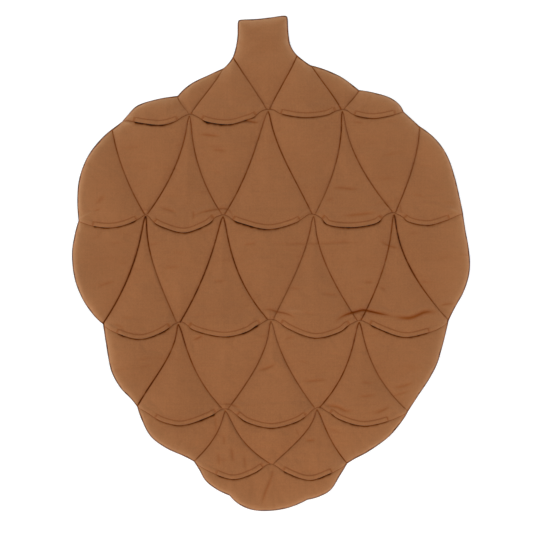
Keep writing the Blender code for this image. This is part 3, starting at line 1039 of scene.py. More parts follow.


@dataclass
class Relief:
    """Heights of the layers above the floor, in millimetres."""

    plan: Plan
    seam_height: float = 3.0  # stuffing squeezed under a quilting line
    lip: float = 2.1  # it rises this much at once beside the line
    lip_reach: float = 1.5
    puff: float = 11.6  # and this much more towards the middle of a field
    puff_reach: float = 27.0
    tight_bulge: float = 1.3  # extra bulge beside a tightly sewn line
    bulge_reach: Pair = (3.0, 13.0)  # it rises and falls off over these widths
    edge_reach: float = 18.0  # width of the mat's rounded edge
    rim: float = 2.6  # height of the edge seam
    rim_lap: float = 0.6  # a lapping tier meets the edge this much higher
    seam_inset: float = 0.9  # the edge seam is pulled in this far
    inset_reach: float = 1.0
    cloth: float = 0.8
    hem_cloth: float = 1.7  # a hem is turned under once
    gap: float = 0.25  # between two layers that touch
    thinnest: float = 0.1  # half of a cloth's thickness at its very edge
    hem_roll: float = 0.7  # the hem bulges this much between fold and topstitching
    hem_step: Pair = (0.6, 1.2)  # it thins out from before to past the stitches
    fold_radius: float = 1.2  # of a hem's folded edge
    lap: Pair = (-3.0, 2.5)  # a hem rides over the tucked edge from here to here
    lift: float = 2.2  # the widest gap of an open hem
    lifted: Pair = (1.0, 20.0)  # it falls off from here to here above the fold
    gape_end: float = 0.05  # share of a gap in which it opens
    gape_places: Triple = (0.1, 0.5, 0.9)  # where its three widths are given, as shares
    sewn_from: float = 0.15  # the topstitching is at its full depth from this gap on
    slack: float = 0.35  # how much a gap's width varies
    dip: float = 3.2  # the next tier sinks this far below an open hem
    least_dip: float = 0.25  # share of that below a closed one
    dip_reach: Pair = (2.4, 22.0)  # outside the hem, and under it
    dip_clear: float = 8.0  # a quilting line holds it up this far to each side
    stitch_dent: float = 0.8
    stitch_width: float = 0.9
    # painted shade in the dent of the topstitching
    stitch_shade: float = 0.31
    tack_width: float = 1.8  # of the few stitches across a hem where its topstitching ends
    seam_shade: float = 0.57  # painted shade along a quilting line, where it is sewn as usual
    seam_width: float = 1.02
    seam_variety: float = 0.35  # how much that painted shade varies
    hem_shade: Pair = (0.45, 0.60)  # painted shadow under a closed hem, more under a gap
    hem_shadow: Pair = (1.3, 2.5)  # width of that, more beside a gap
    # painted shade in the hollows of the puckers
    pucker_shade: float = 0.1
    swell: float = 0.9  # slow unevenness of the wadding
    swell_clear: float = 25.0  # it starts this far from a quilting line
    creases: Creases = field(default_factory=Creases)
    seam_puckers: Puckers = field(default_factory=lambda: Puckers(3, 0.26, 15.0, 7.0))
    rim_puckers: Puckers = field(default_factory=lambda: Puckers(4, 0.45, 19.0, 9.0))
    hem_puckers: Puckers = field(default_factory=lambda: Puckers(5, 0.30, 12.0, 5.0))
    unevenness: Waves = field(default_factory=lambda: Waves(8, 70.0, 190.0))
    seam_tone: Waves = field(default_factory=lambda: Waves(15, 9.0, 40.0))
    slackness: Waves = field(default_factory=lambda: Waves(27, 9.0, 34.0))
    edge_seam: EdgeSeam = field(default_factory=EdgeSeam)
    settled: Settled | None = None

    def __post_init__(self) -> None:
        """Make the tracks that distances are measured from."""
        self.quilting = Track(self.plan.quilting)
        self.edge = Track([closed(self.plan.outline)])
        self.hem_tracks = {row: Track([line]) for row, line in self.plan.hems.items()}
        self.tuck_tracks = {row: Track([line]) for row, line in self.plan.tucks.items()}

    def within_edge(self, points: Array) -> Array:
        """Which points lie inside the mat's outline."""
        return self.edge.nearest(points).side > 0

    def survey(self, points: Array, fine: bool = True) -> Survey:
        """Measure a set of points once, for all the layers that lie over them.

        Args:
            points: points of the plan.
            fine: whether to add the small folds of the cloth, or to keep clear of them.

        Returns:
            The points with what was measured.
        """
        quilting = self.quilting.nearest(points)
        edge = self.edge.nearest(points)
        away = quilting.distance
        tight = self.plan.tightness_at(quilting)
        height = (self.seam_height + self.lip * (1 - np.exp(-away / self.lip_reach))
                  + self.puff * (1 - np.exp(-away / self.puff_reach)))
        rise, fall = self.bulge_reach
        bulge = self.tight_bulge * (tight - 1) * (1 - np.exp(-away / rise))
        height += bulge * np.exp(-away / fall)
        height += self.swell * self.unevenness.at(points) * smoothstep(0, self.swell_clear, away)
        clear = smoothstep(0, SEAM_CLEAR, away)
        if self.settled:
            height += self.settled.at(points) * clear
        shade = np.zeros(len(points))
        if fine:
            pucker = self.seam_puckers.at(quilting, away)
            pucker += self.rim_puckers.at(edge, edge.distance)
            crease, shade = self.creases.at(points)
            height += pucker + crease * clear
            shade += self.pucker_shade * np.maximum(-pucker, 0)
        else:
            height -= self.creases.room(points)
        return Survey(points, quilting, edge, height, shade)

    def opening(self, row: str, foot: Array) -> Array:
        """Read how far a hem gapes.

        Args:
            row: the letter of the row.
            foot: points on the hem.

        Returns:
            How far it gapes there, from 0 to 1.
        """
        share = np.zeros(len(foot))
        for left, right, *gape in OPEN_HEMS[row]:
            along = (foot[:, 0] - left) / (right - left)
            within = smoothstep(0, self.gape_end, along) * smoothstep(0, self.gape_end, 1 - along)
            share += within * np.interp(along, self.gape_places, gape)
        return share * (1 + self.slack * self.slackness.at(foot))

    def hem_ends(self, row: str, foot: Array) -> Array:
        """Read how near a hem's tacks are.

        Args:
            row: the letter of the row.
            foot: points on the hem.

        Returns:
            1 where the topstitching ends, down to 0 away from there.
        """
        ends = np.array([end for left, right, *_ in OPEN_HEMS[row] for end in (left, right)])
        away = np.abs(foot[:, :1] - ends).min(1)
        return np.exp(-(away / self.tack_width) ** 2)

    def beside_hem(self, row: str, points: Array) -> tuple[Array, Array, Array, Near]:
        """Measure points against a hem and the edge tucked under it.

        Args:
            row: the row of the hem.
            points: points of the plan.

        Returns:
            How far each point lies above the hem, how far above the tucked edge, how far
            the hem gapes beside it, and the nearest place on the hem.
        """
        near = self.hem_tracks[row].nearest(points)
        above = np.where(points[:, 1] >= height_of(self.plan.hems[row], points[:, 0]), 1.0, -1.0)
        tucked = np.where(points[:, 1] >= height_of(self.plan.tucks[row], points[:, 0]), 1.0, -1.0)
        tucked *= self.tuck_tracks[row].nearest(points).distance
        return near.distance * above, tucked, self.opening(row, near.foot), near

    def tier_faces(self, number: int, survey: Survey) -> tuple[Array, Array, Array]:
        """Work out the two faces of one tier's cloth.

        Args:
            number: 1 for the tier with the stem, 6 for the tip.
            survey: the points, which lie inside the tier.

        Returns:
            The heights of the lower face, those of the upper face, and the shade painted
            on each point, from 0 to 1.
        """
        tight = self.plan.tightness_at(survey.quilting)
        # painted shade along the quilting lines, varying along them, and beside the edge seam
        tone = tight * (1 + self.seam_variety * self.seam_tone.at(survey.points))
        away = survey.quilting.distance / (self.seam_width * tight ** 0.5)
        crevice = np.maximum(self.seam_shade * tone * np.exp(-away ** 2),
                             self.edge_seam.shade(survey))
        plain = np.ones(len(survey.points))
        layer = Layer(survey.stuffing + self.gap, self.cloth * plain, self.rim * plain, plain,
                      np.maximum(crevice, survey.shade))
        if number > 1:
            self.tuck_under(self.plan.rows[number - 2], layer, survey)
        if number <= len(self.plan.rows):
            self.hem(self.plan.rows[number - 1], layer, survey.points)
        top = layer.bottom + layer.thickness
        middle = (layer.bottom + top) / 2
        half = np.maximum((top - layer.bottom) / 2 * layer.rounding, self.thinnest)
        edge = self.edge_seam.rise(survey, self.edge_reach)
        rim = layer.rim - self.edge_seam.sink(survey)
        top = rim + (middle + half - rim) * edge
        bottom = rim + (middle - half - rim) * edge
        thin = np.maximum(self.thinnest - (top - bottom) / 2, 0)
        return bottom - thin, top + thin, layer.crevice

    def tuck_under(self, row: str, layer: Layer, survey: Survey) -> None:
        """Lay a tier's top edge under the hem of the tier above.

        Args:
            row: the row of that hem.
            layer: the tier's cloth, which is changed.
            survey: its points.
        """
        above, tucked, gape, near = self.beside_hem(row, survey.points)
        outside, under = np.maximum(-above, 0), np.maximum(above, 0)
        depth = self.least_dip + (1 - self.least_dip) * gape
        depth = depth * np.exp(-(outside / self.dip_reach[0]) ** 1.5)
        depth = depth * np.exp(-under / self.dip_reach[1])
        layer.bottom -= self.dip * depth * smoothstep(0, self.dip_clear, survey.quilting.distance)
        layer.bottom += np.where(above < 0, self.hem_puckers.at(near, outside), 0)
        layer.rounding = layer.rounding * quarter_round(-tucked / self.cloth)
        # painted shadow beside the hem, full dark where the tier lies hidden under it
        width = self.hem_shadow[0] + self.hem_shadow[1] * gape
        shade = (self.hem_shade[0] + self.hem_shade[1] * gape) * np.exp(-(outside / width) ** 3)
        layer.crevice = np.maximum(layer.crevice, np.where(above < 0, shade, 1.0))

    def hem(self, row: str, layer: Layer, points: Array) -> None:
        """Turn a tier's lower edge under and topstitch it.

        Args:
            row: the row of the hem.
            layer: the tier's cloth, which is changed.
            points: its points.
        """
        above, tucked, gape, near = self.beside_hem(row, points)
        stitches = self.plan.topstitch
        inside = np.maximum(above, 0)
        laps = smoothstep(*self.lap, -tucked)
        folded = 1 - smoothstep(stitches - self.hem_step[0], stitches + self.hem_step[1], inside)
        layer.thickness += (self.hem_cloth - self.cloth) * folded
        roll = 1 - (np.clip(inside / stitches, 0, 1) * 2 - 1) ** 2
        layer.thickness += self.hem_roll * roll
        lift = self.lift * gape * (1 - smoothstep(*self.lifted, inside))
        layer.bottom += (self.cloth + self.gap) * laps + lift
        layer.rim = layer.rim + self.rim_lap * laps
        sewn = smoothstep(0, self.sewn_from, gape)
        dent = np.exp(-((inside - stitches) / self.stitch_width) ** 2) * sewn
        dent = np.maximum(dent, self.hem_ends(row, near.foot) * (above > 0) * folded)
        layer.thickness -= self.stitch_dent * dent
        # painted shade in the dents of the topstitching and its tacks
        layer.crevice = np.maximum(layer.crevice, self.stitch_shade * dent)
        layer.rounding = layer.rounding * quarter_round(inside / self.fold_radius)

    def front_face(self, survey: Survey, upper: bool) -> Array:
        """Read the whole front, all tiers together.

        Args:
            survey: the points.
            upper: whether to read the uppermost cloth's upper face, or the lowest
                cloth's lower face.

        Returns:
            The height over each point.
        """
        further, start = (np.maximum, -np.inf) if upper else (np.minimum, np.inf)
        heights = np.full(len(survey.points), start)
        for number in range(1, len(self.plan.rows) + 2):
            chosen = np.flatnonzero(self.plan.in_tier(number, survey.points, 0))
            if len(chosen):
                face = self.tier_faces(number, survey.part(chosen))[int(upper)]
                heights[chosen] = further(heights[chosen], face)
        return heights

    def drawn_in(self, survey: Survey) -> Array:
        """Points of the plan with the edge seam pulled in."""
        pull = self.seam_inset * np.exp(-survey.edge.distance / self.inset_reach)
        return survey.points + survey.edge.normal * pull[:, None]


@dataclass
class Filling:
    """Triangles that fill a closed loop and keep to the lines given."""

    points: Array
    triangles: Array
    edge: Array  # the loop's points, in order, as indices


def fill_loop(loop: Array, lines: list[Array], loose: Array) -> Filling:
    """Fill a closed loop with triangles.

    Args:
        loop: the loop, counter-clockwise, without a repeated last point.
        lines: lines inside the loop, which become edges.
        loose: single points inside the loop.

    Returns:
        The filling, without points that no triangle uses.
    """
    points = [loop]
    edges = [(i, (i + 1) % len(loop)) for i in range(len(loop))]
    count = len(loop)
    for line in lines:
        edges.extend((count + i, count + i + 1) for i in range(len(line) - 1))
        points.append(line)
        count += len(line)
    points.append(loose)
    vectors = [Vector(point) for point in np.concatenate(points).tolist()]
    filled = delaunay_2d_cdt(vectors, edges, [], INSIDE_THE_EDGES, SAME_POINT)
    flat = np.array([tuple(vert) for vert in filled[0]])
    triangles = np.array([tuple(face) for face in filled[2]])
    place = np.full(len(loop), -1)
    for new, old in enumerate(filled[3]):
        for index in old:
            if index < len(loop):
                place[index] = new
    used = np.unique(triangles)
    order = np.full(len(flat), -1)
    order[used] = np.arange(len(used))
    edge = order[place]
    if (edge < 0).any():
        raise ValueError("a point of the loop was lost while it was filled")
    return Filling(flat[used], order[triangles], edge)


@dataclass
class Weave:
    """How finely a layer is meshed."""

    spacing: float = 3.6  # of the grid in the open fields
    quilt_rows: Numbers = (0.9, 2.2, 4.3, 7.0)
    edge_rows: Numbers = (0.4, 1.3, 2.2, 2.85, 3.4, 4.1, 5.0, 6.3, 8.2, 10.6)
    hem_rows: Numbers = (0.3, 0.8, 1.5, 3.0, 5.5, 7.8, 9.4, 10.2, 11.0, 13.0)
    lower_rows: Numbers = (-6.5, -4.0, -2.4, -1.2, -0.2, 2.0, 6.0)
    crease_rows: Numbers = (-3.0, -1.5, 0.0, 1.5, 3.0)
    clear: float = 0.8  # least distance of a row's point from any other line
    close: float = 0.9  # or this share of the row's own distance, where that is less
    part: float = 0.6  # least distance of a grid point from a row, as a share

    def rows_beside(self, line: Array, offsets: Numbers, track: Track) -> Array:
        """Lay rows of points along a line.

        Args:
            line: the line.
            offsets: the distance of each row, positive on the left of the line.
            track: all lines of the layer.

        Returns:
            The points that keep clear of every line.
        """
        middles, normals = across(line)
        kept = [np.zeros((0, 2))]
        for offset in offsets:
            row = middles + normals * offset
            limit = min(self.close * abs(offset), self.clear)
            kept.append(row[track.nearest(row).distance >= limit])
        return np.concatenate(kept)

    def fill(self, loop: Array, lines: list[Array], others: list[tuple[Array, Numbers]],
             grid: Array, inside: Callable[[Array], Array]) -> Filling:
        """Mesh a layer: rows of points along its lines, a grid in the fields between.

        Args:
            loop: the layer's edge.
            lines: its quilting lines.
            others: further lines, and the rows beside each; the rim comes first.
            grid: the points of the grid.
            inside: tells which points lie inside the layer.

        Returns:
            The filling.
        """
        track = Track([closed(loop), *lines])
        both = (*self.quilt_rows, *(-offset for offset in self.quilt_rows))
        rows = [others[0], *((line, both) for line in lines), *others[1:]]
        beside = np.concatenate([self.rows_beside(*row, track) for row in rows])
        beside = beside[inside(beside)]
        between = self.fields_between(grid, np.concatenate([beside, loop, *lines]))
        return fill_loop(loop, lines, np.concatenate([beside, between]))

    def fields_between(self, grid: Array, rows: Array) -> Array:
        """Thin out a grid beside rows of points.

        Args:
            grid: the points of the grid.
            rows: the points of the rows.

        Returns:
            The grid points that keep clear.
        """
        tree = tree_of(rows)
        away = np.array([tree.find((x, y, 0.0))[2] for x, y in grid.tolist()])
        return grid[away > self.part * self.spacing]


def clip_line(line: Array, chosen: Array) -> list[Array]:
    """Split a line into the stretches whose points are chosen."""
    cuts = np.flatnonzero(np.diff(chosen.astype(int))) + 1
    return [part for part, wanted in zip(np.split(line, cuts), np.split(chosen, cuts))
            if wanted[0] and len(part) > 1]


def place_in_scene(name: str, data: bpy.types.ID) -> bpy.types.Object:
    """Make an object of some data.

    Args:
        name: its name.
        data: a mesh, a light or a camera.

    Returns:
        The object, in the scene.
    """
    item = bpy.data.objects.new(name, data)
    bpy.context.scene.collection.objects.link(item)
    return item


def make_mesh(name: str, points: Array, faces: Array) -> bpy.types.Object:
    """Make a smooth mesh object.

    Args:
        name: the piece's name.
        points: its points in millimetres.
        faces: its triangles.

    Returns:
        The object, in the scene.
    """
    mesh = bpy.data.meshes.new(name)
    mesh.from_pydata((points * MM).tolist(), [], faces.tolist())
    mesh.shade_smooth()
    mesh.update()
    return place_in_scene(name, mesh)


def paint(item: bpy.types.Object, name: str, values: Array) -> None:
    """Store one number for each point of a mesh, for its material to read."""
    attribute = item.data.attributes.new(name, "FLOAT", "POINT")
    attribute.data.foreach_set("value", np.clip(values, 0, 1).astype(np.float32))


def make_shell(name: str, filling: Filling, flat: Array, low: Array,
               high: Array) -> bpy.types.Object:
    """Make a closed skin from the two faces of a cloth.

    Args:
        name: the piece's name.
        filling: its triangles.
        flat: where each point lies on the plan.
        low: the heights of its lower face.
        high: the heights of its upper face.

    Returns:
        The object, with the points of the upper face first.
    """
    count = len(flat)
    points = np.concatenate([np.column_stack([flat, high]), np.column_stack([flat, low])])
    a = filling.edge
    b = np.roll(a, -1)
    faces = np.concatenate([filling.triangles, filling.triangles[:, ::-1] + count,
                            np.column_stack([a, a + count, b]),
                            np.column_stack([b, a + count, b + count])])
    return make_mesh(name, points, faces)


class Nodes:
    """A short way to wire the nodes of one material."""

    def __init__(self, name: str) -> None:
        """Start a material with one Principled shader.

        Args:
            name: the material's name.
        """
        self.material = bpy.data.materials.new(name)
        self.material.use_nodes = True
        self.tree = self.material.node_tree
        self.shader = self.tree.nodes["Principled BSDF"]

    def add(self, kind: str, settings: dict[str, object],
            inputs: dict[int | str, object]) -> bpy.types.Node:
        """Add a node.

        Args:
            kind: the node's type.
            settings: values of its own properties.
            inputs: values or output sockets for its inputs, by number or name.

        Returns:
            The node.
        """
        node = self.tree.nodes.new(kind)
        for name, value in settings.items():
            setattr(node, name, value)
        for name, value in inputs.items():
            self.feed(node.inputs[name], value)
        return node

    def feed(self, socket: Socket, value: object) -> None:
        """Set an input, or link it to an output.

        Args:
            socket: the input.
            value: a value, or an output socket.
        """
        if isinstance(value, Socket):
            self.tree.links.new(value, socket)
        else:
            socket.default_value = value

    def finish(self, **inputs: object) -> bpy.types.Material:
        """Feed the shader.

        Args:
            **inputs: values or output sockets for its inputs, by name with _ for a space.

        Returns:
            The material.
        """
        for name, value in inputs.items():
            self.feed(self.shader.inputs[name.replace("_", " ")], value)
        return self.material

    def place(self) -> Socket:
        """The place on the object, in metres."""
        return self.add("ShaderNodeTexCoord", {}, {}).outputs["Object"]

    def painted(self, name: str) -> Socket:
        """The number stored under a name for each point of the mesh."""
        return self.add("ShaderNodeAttribute", {"attribute_name": name}, {}).outputs["Fac"]

    def sum(self, operation: str, first: object, second: object) -> Socket:
        """Combine two numbers."""
        return self.add("ShaderNodeMath", {"operation": operation},
                        {0: first, 1: second}).outputs[0]

    def tint(self, share: object, first: object, second: object) -> Socket:
        """Mix two colours by a share."""
        return self.add("ShaderNodeMix", {"data_type": "RGBA"},
                        {0: share, 6: first, 7: second}).outputs[2]

    def grain(self, place: object, scale: Triple, detail: float, seed: float) -> Socket:
        """Read a noise field, mostly from 0.3 to 0.7, that may be stretched along an axis."""
        mapping = self.add("ShaderNodeMapping", {}, {
            "Vector": place, "Scale": scale, "Location": (seed, seed * 0.7, 0.0)})
        return self.add("ShaderNodeTexNoise", {}, {
            "Vector": mapping.outputs[0], "Scale": 1.0, "Detail": detail,
            "Roughness": 0.55}).outputs[0]

    def spread(self, value: object, low: float, high: float) -> Socket:
        """Stretch a noise field's middle range to the range given."""
        inputs = dict(enumerate((value, 0.3, 0.7, low, high)))
        return self.add("ShaderNodeMapRange", {"clamp": True}, inputs).outputs[0]

    def bump(self, strength: float, depth: float, height: object, **more: object) -> Socket:
        """Roughen the surface by a pattern, over what it is roughened by already."""
        return self.add("ShaderNodeBump", {}, {
            "Strength": strength, "Distance": depth, "Height": height, **more}).outputs[0]


@dataclass(frozen=True)
class Cotton:
    """Matt woven cotton."""

    name: str
    colour: Colour = (0.298, 0.120, 0.046, 1.0)
    # colour of the painted shade in grooves and creases, beside the edge seam and under hems
    seam_colour: Colour = (0.222, 0.046, 0.0005, 1.0)
    # colour of the deepest painted shade, under open hems and on the lip of the edge seam
    gap_colour: Colour = (0.020, 0.004, 0.0005, 1.0)
    # colour of the painted highlight along the rim and on ridges
    rubbed_colour: Colour = (0.880, 0.620, 0.340, 1.0)
    rubbed: float = 0.145  # how strong the painted highlight is at its fullest
    thread_pitch: float = 0.0011  # metres for one pair of threads
    slub: float = 0.05  # how much the streaks of thick thread vary the colour
    cloudiness: float = 0.05  # how much the dye varies from place to place
    fleck: float = 0.046  # how much it varies from one few threads to the next
    streaks: tuple[Triple, Triple] = ((14.0, 620.0, 14.0), (620.0, 14.0, 14.0))  # per metre
    clouds: Triple = (9.0, 7.0, 9.0)
    flecks: Triple = (260.0, 260.0, 260.0)
    weave_depth: float = 0.00012
    slub_depth: float = 0.00022
    roughness: float = 0.9
    sheen: float = 0.22
    sheen_roughness: float = 0.45
    sheen_tint: Colour = (1.0, 0.82, 0.66, 1.0)
    specular: float = 0.08

    def material(self) -> bpy.types.Material:
        """Wire the cotton: weave, slubs, uneven dye, a painted highlight, and painted shade in
        grooves.

        Returns:
            The material.
        """
        nodes = Nodes(self.name)
        place = nodes.place()
        axes = nodes.add("ShaderNodeSeparateXYZ", {}, {0: place}).outputs
        turns = 2 * math.pi / self.thread_pitch
        warp, weft = (nodes.sum("SINE", nodes.sum("MULTIPLY", axis, turns), 0.0)
                      for axis in axes[:2])
        ways = [nodes.sum("MULTIPLY", nodes.grain(place, scale, 2.0, seed), 0.5)
                for scale, seed in zip(self.streaks, (3.1, 7.7))]
        slubs = nodes.sum("ADD", *ways)
        cloud = nodes.grain(place, self.clouds, 3.0, 1.3)
        fleck = nodes.grain(place, self.flecks, 1.0, 5.9)
        shade = 1.0
        for pattern, most in ((slubs, self.slub), (cloud, self.cloudiness), (fleck, self.fleck)):
            shade = nodes.sum("MULTIPLY", shade, nodes.spread(pattern, 1 - most, 1 + most))
        dyed = nodes.add("ShaderNodeVectorMath", {"operation": "SCALE"},
                         {0: self.colour[:3], "Scale": shade})
        # painted highlight along the rim and on ridges
        rubbed = nodes.sum("MULTIPLY", nodes.painted("rub"), self.rubbed)
        colour = nodes.tint(rubbed, dyed.outputs[0], self.rubbed_colour)
        # painted shade in grooves, creases and under hems; where deepest it turns near black
        twice = nodes.sum("MULTIPLY", nodes.painted("crevice"), 2.0)
        colour = nodes.tint(nodes.sum("MINIMUM", twice, 1.0), colour, self.seam_colour)
        deep = nodes.sum("MAXIMUM", nodes.sum("SUBTRACT", twice, 1.0), 0.0)
        colour = nodes.tint(deep, colour, self.gap_colour)
        weave = nodes.bump(1.0, self.weave_depth, nodes.sum("MULTIPLY", warp, weft))
        surface = nodes.bump(1.0, self.slub_depth, slubs, Normal=weave)
        return nodes.finish(Base_Color=colour, Normal=surface, Roughness=self.roughness,
                            Specular_IOR_Level=self.specular, Sheen_Weight=self.sheen,
                            Sheen_Roughness=self.sheen_roughness, Sheen_Tint=self.sheen_tint)


@dataclass(frozen=True)
class SewingThread:
    """Twisted sewing thread, a little darker than the cloth."""

    name: str
    colour: Colour = (0.165, 0.032, 0.001, 1.0)
    pale: Colour = (0.215, 0.050, 0.002, 1.0)
    ply: float = 0.0009  # metres for one turn of the twist
    ply_depth: float = 0.00012
    ply_lean: Triple = (0.0, 0.6, 0.8)  # how the plies lie, in radians
    ply_unevenness: float = 1.5
    roughness: float = 0.62
    specular: float = 0.2
    sheen: float = 0.08
    sheen_tint: Colour = (1.0, 0.7, 0.45, 1.0)

    def material(self) -> bpy.types.Material:
        """Wire the thread: two plies that wind round each other.

        Returns:
            The material.
        """
        nodes = Nodes(self.name)
        mapping = nodes.add("ShaderNodeMapping", {},
                            {"Vector": nodes.place(), "Rotation": self.ply_lean})
        bands = nodes.add("ShaderNodeTexWave", {"wave_type": "BANDS"}, {
            "Vector": mapping.outputs[0], "Scale": 1 / self.ply / WAVE_TEXTURE_BANDS,
            "Distortion": self.ply_unevenness}).outputs["Fac"]
        return nodes.finish(Base_Color=nodes.tint(bands, self.colour, self.pale),
                            Normal=nodes.bump(0.7, self.ply_depth, bands),
                            Roughness=self.roughness, Specular_IOR_Level=self.specular,
                            Sheen_Weight=self.sheen, Sheen_Tint=self.sheen_tint)


@dataclass(frozen=True)
class Fleece:
    """Off-white fibrous wadding."""

    name: str
    colour: Colour = (0.80, 0.78, 0.72, 1.0)
    shaded: Colour = (0.62, 0.60, 0.54, 1.0)
    fibres: tuple[Triple, Triple] = ((90.0, 900.0, 300.0), (800.0, 110.0, 300.0))  # per metre
    fibre_depth: float = 0.0009
    roughness: float = 0.95
    sheen: float = 0.4

    def material(self) -> bpy.types.Material:
        """Wire the wadding: tangled fibres in two directions.

        Returns:
            The material.
        """
        nodes = Nodes(self.name)
        place = nodes.place()
        fibres = nodes.sum("MAXIMUM", *(nodes.grain(place, scale, 4.0, seed)
                                        for scale, seed in zip(self.fibres, (2.0, 5.0))))
        colour = nodes.tint(nodes.spread(fibres, 0.0, 1.0), self.shaded, self.colour)
        return nodes.finish(Base_Color=colour, Normal=nodes.bump(0.8, self.fibre_depth, fibres),
                            Roughness=self.roughness, Sheen_Weight=self.sheen)


@dataclass(frozen=True)
class PaleFloor:
    """A plain white studio floor."""

    name: str = "pale_floor"
    glow: float = 0.62  # it is lit from below, as a light table is
    roughness: float = 0.95
    colour: Colour = (0.52, 0.52, 0.515, 1.0)

    def material(self) -> bpy.types.Material:
        """Wire the floor: plain and matt."""
        return Nodes(self.name).finish(
            Base_Color=self.colour, Roughness=self.roughness, Specular_IOR_Level=0.0,
            Emission_Color=WHITE, Emission_Strength=self.glow)


@dataclass
class Settling:
    """Cloth simulation of the whole front, sewn down along every seam and hem."""

    plan: Plan
    relief: Relief
    spacing: float = 7.0
    frames: int = 20
    surplus: float = 0.022  # the cloth is this much longer than the way over the wadding
    pressure: float = 1.5
    stiffness: float = 18.0
    bending: float = 0.6
    damping: float = 4.0
    mass: float = 0.12
    quality: int = 5
    unrest: float = 0.08  # the points start this unevenly
    most: float = 3.5  # no point moves further than this
    pitch: float = 2.5
    softening: Numbers = (0.06, 0.24, 0.40, 0.24, 0.06)
    seed: int = 17
    edge_clear: float = 3.0  # a seam ends this far from the edge
    fewest: int = 5  # a shorter piece of a seam, counted in points, is left out
    grid_clear: float = 0.6  # least distance of a grid point from a seam, as a share
    sewn_within: float = 0.2  # points this near to a seam are sewn down
    above: float = 50.0  # where the rays start that find the settled cloth

    def cut(self) -> tuple[Filling, Array]:
        """Cut the cloth.

        Returns:
            Its triangles, and which of its points are sewn down.
        """
        every_other = slice(None, None, 2)
        lines = []
        for line in [*self.plan.quilting, *self.plan.hems.values()]:
            near = self.relief.edge.nearest(line)
            for part in clip_line(line, (near.distance > self.edge_clear) & (near.side > 0)):
                if len(part) >= self.fewest:
                    lines.append(part[every_other])
        loop = self.plan.outline[every_other]
        track = Track([closed(loop), *lines])
        grid = self.plan.field_grid(self.spacing)
        near = track.nearest(grid)
        clear = near.distance > self.grid_clear * self.spacing
        loose = grid[clear & self.relief.within_edge(grid)]
        filling = fill_loop(loop, lines, loose)
        sewn = track.nearest(filling.points).distance < self.sewn_within
        return filling, sewn

    def simulate(self, filling: Filling, sewn: Array, heights: Array) -> Array:
        """Let the cloth settle.

        Args:
            filling: the cloth's triangles.
            sewn: which points stay where they are.
            heights: the height of each point at the start.

        Returns:
            Its points at the end.
        """
        draw = np.random.default_rng(self.seed)
        start = heights + np.where(sewn, 0, draw.normal(0, self.unrest, len(heights)))
        item = make_mesh("settling", np.column_stack([filling.points, start]), filling.triangles)
        item.vertex_groups.new(name="sewn").add(np.flatnonzero(sewn).tolist(), 1.0, "REPLACE")
        modifier = item.modifiers.new("settle", "CLOTH")
        modifier.collision_settings.use_collision = False
        modifier.point_cache.frame_start = 1
        modifier.point_cache.frame_end = self.frames
        cloth = modifier.settings
        cloth.quality = self.quality
        cloth.mass = self.mass
        cloth.tension_stiffness = cloth.compression_stiffness = self.stiffness
        cloth.shear_stiffness = self.stiffness / 3
        cloth.bending_stiffness = self.bending
        cloth.air_damping = self.damping
        cloth.vertex_group_mass = "sewn"
        cloth.shrink_min = -self.surplus
        cloth.use_pressure = True
        cloth.uniform_pressure_force = self.pressure
        cloth.effector_weights.gravity = 0.0
        scene = bpy.context.scene
        for frame in range(1, self.frames + 1):
            scene.frame_set(frame)
        shape = item.evaluated_get(bpy.context.evaluated_depsgraph_get()).data
        points = np.zeros(len(shape.vertices) * 3)
        shape.vertices.foreach_get("co", points)
        mesh = item.data
        bpy.data.objects.remove(item)
        bpy.data.meshes.remove(mesh)
        scene.frame_set(1)
        return points.reshape(-1, 3) / MM

    def read(self, filling: Filling, moved: Array) -> Settled:
        """Read how far the cloth moved, on a level grid.

        Args:
            filling: the cloth's triangles.
            moved: how far each of its points moved up or down.

        Returns:
            The grid.
        """
        verts = np.column_stack([filling.points, moved]).tolist()
        tree = BVHTree.FromPolygons(verts, filling.triangles.tolist())
        corner = filling.points.min(axis=0)
        columns, rows = (np.ptp(filling.points, axis=0) / self.pitch).astype(int) + 2
        heights = np.zeros((rows, columns))
        down = Vector((0.0, 0.0, -1.0))
        for row in range(rows):
            y = corner[1] + row * self.pitch
            for column in range(columns):
                place = Vector((corner[0] + column * self.pitch, y, self.above))
                hit = tree.ray_cast(place, down)[0]
                if hit:
                    heights[row, column] = hit.z
        for axis in (0, 1):
            blurred = np.zeros_like(heights)
            for shift, weight in zip(range(-2, 3), self.softening):
                blurred += weight * np.roll(heights, shift, axis)
            heights = blurred
        return Settled(corner, self.pitch, heights)

    def settle(self) -> Settled:
        """Cut the cloth, let it settle, and read how far it moved.

        Returns:
            The movement over the plan.
        """
        filling, sewn = self.cut()
        survey = self.relief.survey(filling.points)
        edge = self.relief.edge_seam.rise(survey, self.relief.edge_reach)
        heights = self.relief.rim + (survey.stuffing - self.relief.rim) * edge
        points = self.simulate(filling, sewn, heights)
        moved = np.clip(points[:, 2] - heights, -self.most, self.most)
        log.info("the front cloth moved %.2f to %.2f mm as it settled", moved.min(), moved.max())
        return self.read(filling, moved)


